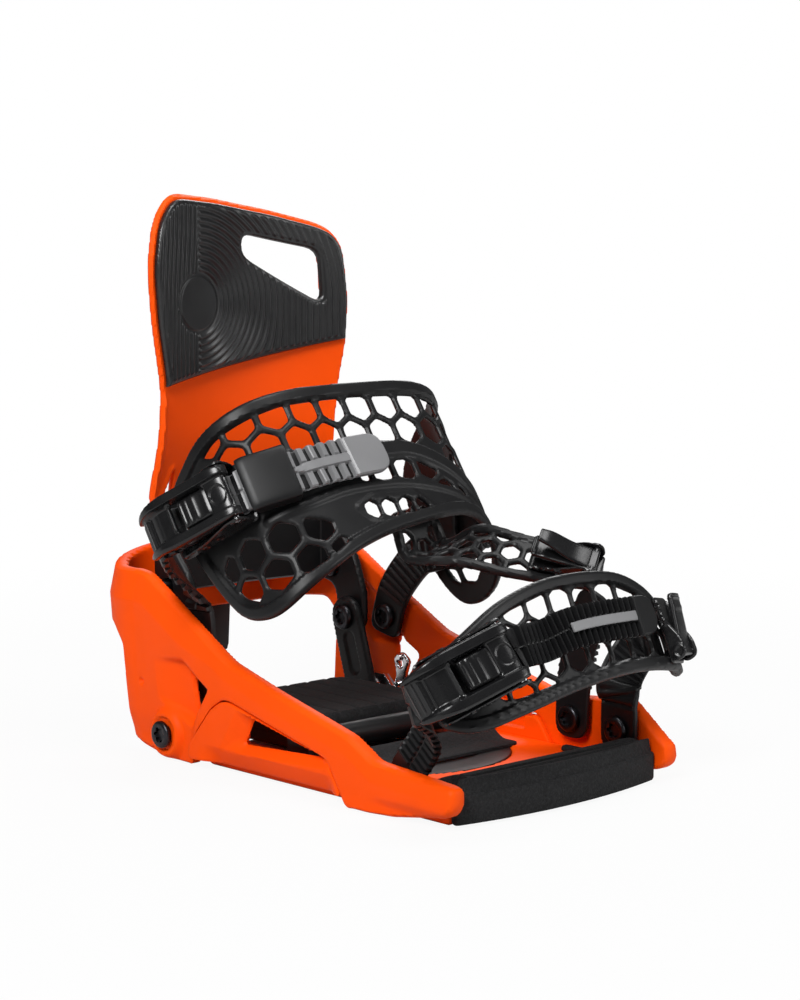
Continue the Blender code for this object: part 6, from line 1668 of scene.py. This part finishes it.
class BINDING_OT_ladders(bpy.types.Operator):
    """Toothed straps and the keeper loop"""
    bl_idname = "binding.ladders"
    bl_label = "Ladders"

    def execute(self, context):
        sizes = context.scene.binding_sizes
        band = ankle_ladder_band()
        end = band.length
        ladder = ladder_look(band, LADDER_HALF, 24.0, sizes.tooth_pitch, 22.0, (end - 58, end))
        dress("ankle_ladder_look", ladder, "ladder", "ankle", sharp=30.0)
        # Painted shade: a black sheet under the teeth makes the gaps between them dark
        slot_shade = slot_shade_look(band, LADDER_HALF, 25.0, end - 22.5)
        dress("ankle_ladder_floor_look", slot_shade, "strap", "ankle", "ankle_ladder")
        dress("ankle_keeper_look", keeper_look(band), "black", "ankle")
        band = toe_ladder_band()
        end = band.length
        ladder = ladder_look(band, 8.8, 11.0, sizes.fine_pitch, 13.0, (end - 56, end - 56))
        dress("toe_ladder_look", ladder, "strap", "toe", sharp=30.0)
        dress("toe_ladder_strip_look", strip_look(band, end - 55, end - 15), "grey", "toe", "toe_ladder")
        band = front_ladder_band()
        ladder = ladder_look(band, LADDER_HALF, 24.0, sizes.fine_pitch, 8.0, (0, 0))
        dress("front_ladder_look", ladder, "strap", "base", sharp=30.0)
        return {"FINISHED"}


class BINDING_OT_buckles(bpy.types.Operator):
    """Ratchet buckles, strap adjusters and the front claw"""
    bl_idname = "binding.buckles"
    bl_label = "Buckles"

    def execute(self, context):
        for name, local in (("ankle", ANKLE_BUCKLE), ("toe", TOE_BUCKLE)):
            dress(name + "_buckle_base_look", buckle_base_look(local), "buckle", name)
            ends = [local.point(PIN[0], side * BUCKLE_PIN_HALF, PIN[1]) for side in (-1, 1)]
            dress(name + "_buckle_pin_look", pin_look(*ends, 1.6), "steel", name)
            dress(name + "_buckle_lever_look", lever_look(local), "buckle", name + "_lever")
            dress(name + "_buckle_trigger_look", trigger_look(local), "buckle", name + "_trigger")
        band = front_arm_band()
        end, middle, start = band.read(band.points, band.length - np.array([0.0, 16.0, 32.0]))
        normal = unit(band.read(band.normal, np.array([band.length - 16.0])))[0]
        clamps = (("ankle_adjuster", "ankle", on_strap(ANKLE, 88.0, 20.0, 3.3, 6.6), 40.0),
                  ("toe_adjuster", "toe", on_strap(TOE, 61.0, 2.0, 3.42, 9.9), 30.0),
                  ("front_claw", "ankle", Local(middle + normal * 2.25, end - start, normal), 32.0))
        for prefix, body, local, length in clamps:
            base = buckle_base_look(local, length, 8.5, (length / 2 - 4, 5.5), 1.5)
            dress(prefix + "_base_look", base, "buckle", body)
            lever = clamp_lever_look(local, length, prefix == "front_claw")
            dress(prefix + "_lever_look", lever, "buckle", prefix)
        return {"FINISHED"}


class BINDING_OT_fasteners(bpy.types.Operator):
    """Screws, bolts, pins and axles"""
    bl_idname = "binding.fasteners"
    bl_label = "Fasteners"

    def execute(self, context):
        for side, label in ((-1, "_outer"), (1, "_inner")):
            for kind, facing, shank, head_radius, head, body in BOLTS:
                bolt = bolt_look(kind + label, facing * side, shank, head_radius, head)
                dress(kind + label + "_look", bolt, "dark_steel", body)
            dress("link_pin" + label + "_look", node_pin_look("link_pin" + label, 2.2), "steel", "pedal")
        dress("front_anchor_bolt_look", bolt_look("front_anchor_bolt", -1, 3.0, 6.0, 2.4), "dark_steel", "base")
        for node, radius in (("pedal_axle", 2.5), ("latch_pin", 2.2), ("release_pin", 2.0)):
            dress(node + "_look", node_pin_look(node, radius), "steel", "base")
        profile = [(1.5, 0.3), (2.7, 0.3), (3.0, 0.7), (3.0, 4.4), (5.4, 4.4), (5.5, 4.6), (5.5, 6.6),
                   (5.0, 7.3), (3.2, 7.35), (2.6, 7.1, 0.14), (2.6, 5.6, 0.14), (0.8, 5.5)]
        for index in range(1, 5):
            node = "disc_screw_%d" % index
            x, y, _ = node_box(node)[2]
            dress(node + "_look", lathe(profile, (x, y, 0), (0, 0, 1), 72), "steel", "disc")
        return {"FINISHED"}


class BINDING_OT_stage(bpy.types.Operator):
    """Pale floor, soft light and the camera"""
    bl_idname = "binding.stage"
    bl_label = "Stage"

    def execute(self, context):
        pale_floor(tuple(context.scene.binding_looks.floor))
        studio_world()
        target = Vector(CAMERA_TARGET)
        area_light("key_light", (-1.4, -0.6, 1.3), target, (0.7, 0.7), 34)
        area_light("top_light", (0.2, -0.3, 1.7), target, (0.6, 1.0), 15)
        area_light("fill_light", (0.9, -1.5, 0.7), target, (0.7, 0.7), 9)
        area_light("rim_light", (1.2, 1.2, 1.0), target, (0.9, 0.6), 9)
        turn, lift = math.radians(CAMERA_TURN), math.radians(CAMERA_LIFT)
        back = Vector((-math.sin(turn) * math.cos(lift), -math.cos(turn) * math.cos(lift), math.sin(lift)))
        data = bpy.data.cameras.new("photo_camera")
        data.sensor_fit = "VERTICAL"
        data.sensor_height = SENSOR
        data.sensor_width = SENSOR
        data.lens = CAMERA_LENS
        camera = bpy.data.objects.new("photo_camera", data)
        camera.location = target + back * CAMERA_DISTANCE
        camera.rotation_euler = (-back).to_track_quat("-Z", "Y").to_euler()
        context.scene.collection.objects.link(camera)
        context.scene.camera = camera
        context.scene.view_settings.view_transform = "Standard"
        return {"FINISHED"}


class BINDING_PT_panel(bpy.types.Panel):
    """Lists the binding's sizes, colours and pieces"""
    bl_idname = "BINDING_PT_panel"
    bl_label = "Binding"
    bl_space_type = "VIEW_3D"
    bl_region_type = "UI"
    bl_category = "Binding"

    def draw(self, context):
        for group in (context.scene.binding_looks, context.scene.binding_sizes):
            for key in group.__annotations__:
                self.layout.prop(group, key)
        for operator in OPERATORS:
            self.layout.operator(operator.bl_idname)


OPERATORS = (BINDING_OT_stage, BINDING_OT_hoop, BINDING_OT_foam, BINDING_OT_highback, BINDING_OT_linkage,
             BINDING_OT_straps, BINDING_OT_ladders,
             BINDING_OT_buckles, BINDING_OT_fasteners)
CLASSES = (BindingLooks, BindingSizes, *OPERATORS, BINDING_PT_panel)


def register():
    for item in CLASSES:
        bpy.utils.register_class(item)
    bpy.types.Scene.binding_looks = PointerProperty(type=BindingLooks)
    bpy.types.Scene.binding_sizes = PointerProperty(type=BindingSizes)


def unregister():
    del bpy.types.Scene.binding_sizes
    del bpy.types.Scene.binding_looks
    for item in reversed(CLASSES):
        bpy.utils.unregister_class(item)


def main():
    register()
    build_finishes(bpy.context.scene.binding_looks)
    for operator in OPERATORS:
        group, name = operator.bl_idname.split(".")
        getattr(getattr(bpy.ops, group), name)()


if __name__ == "__main__":
    main()
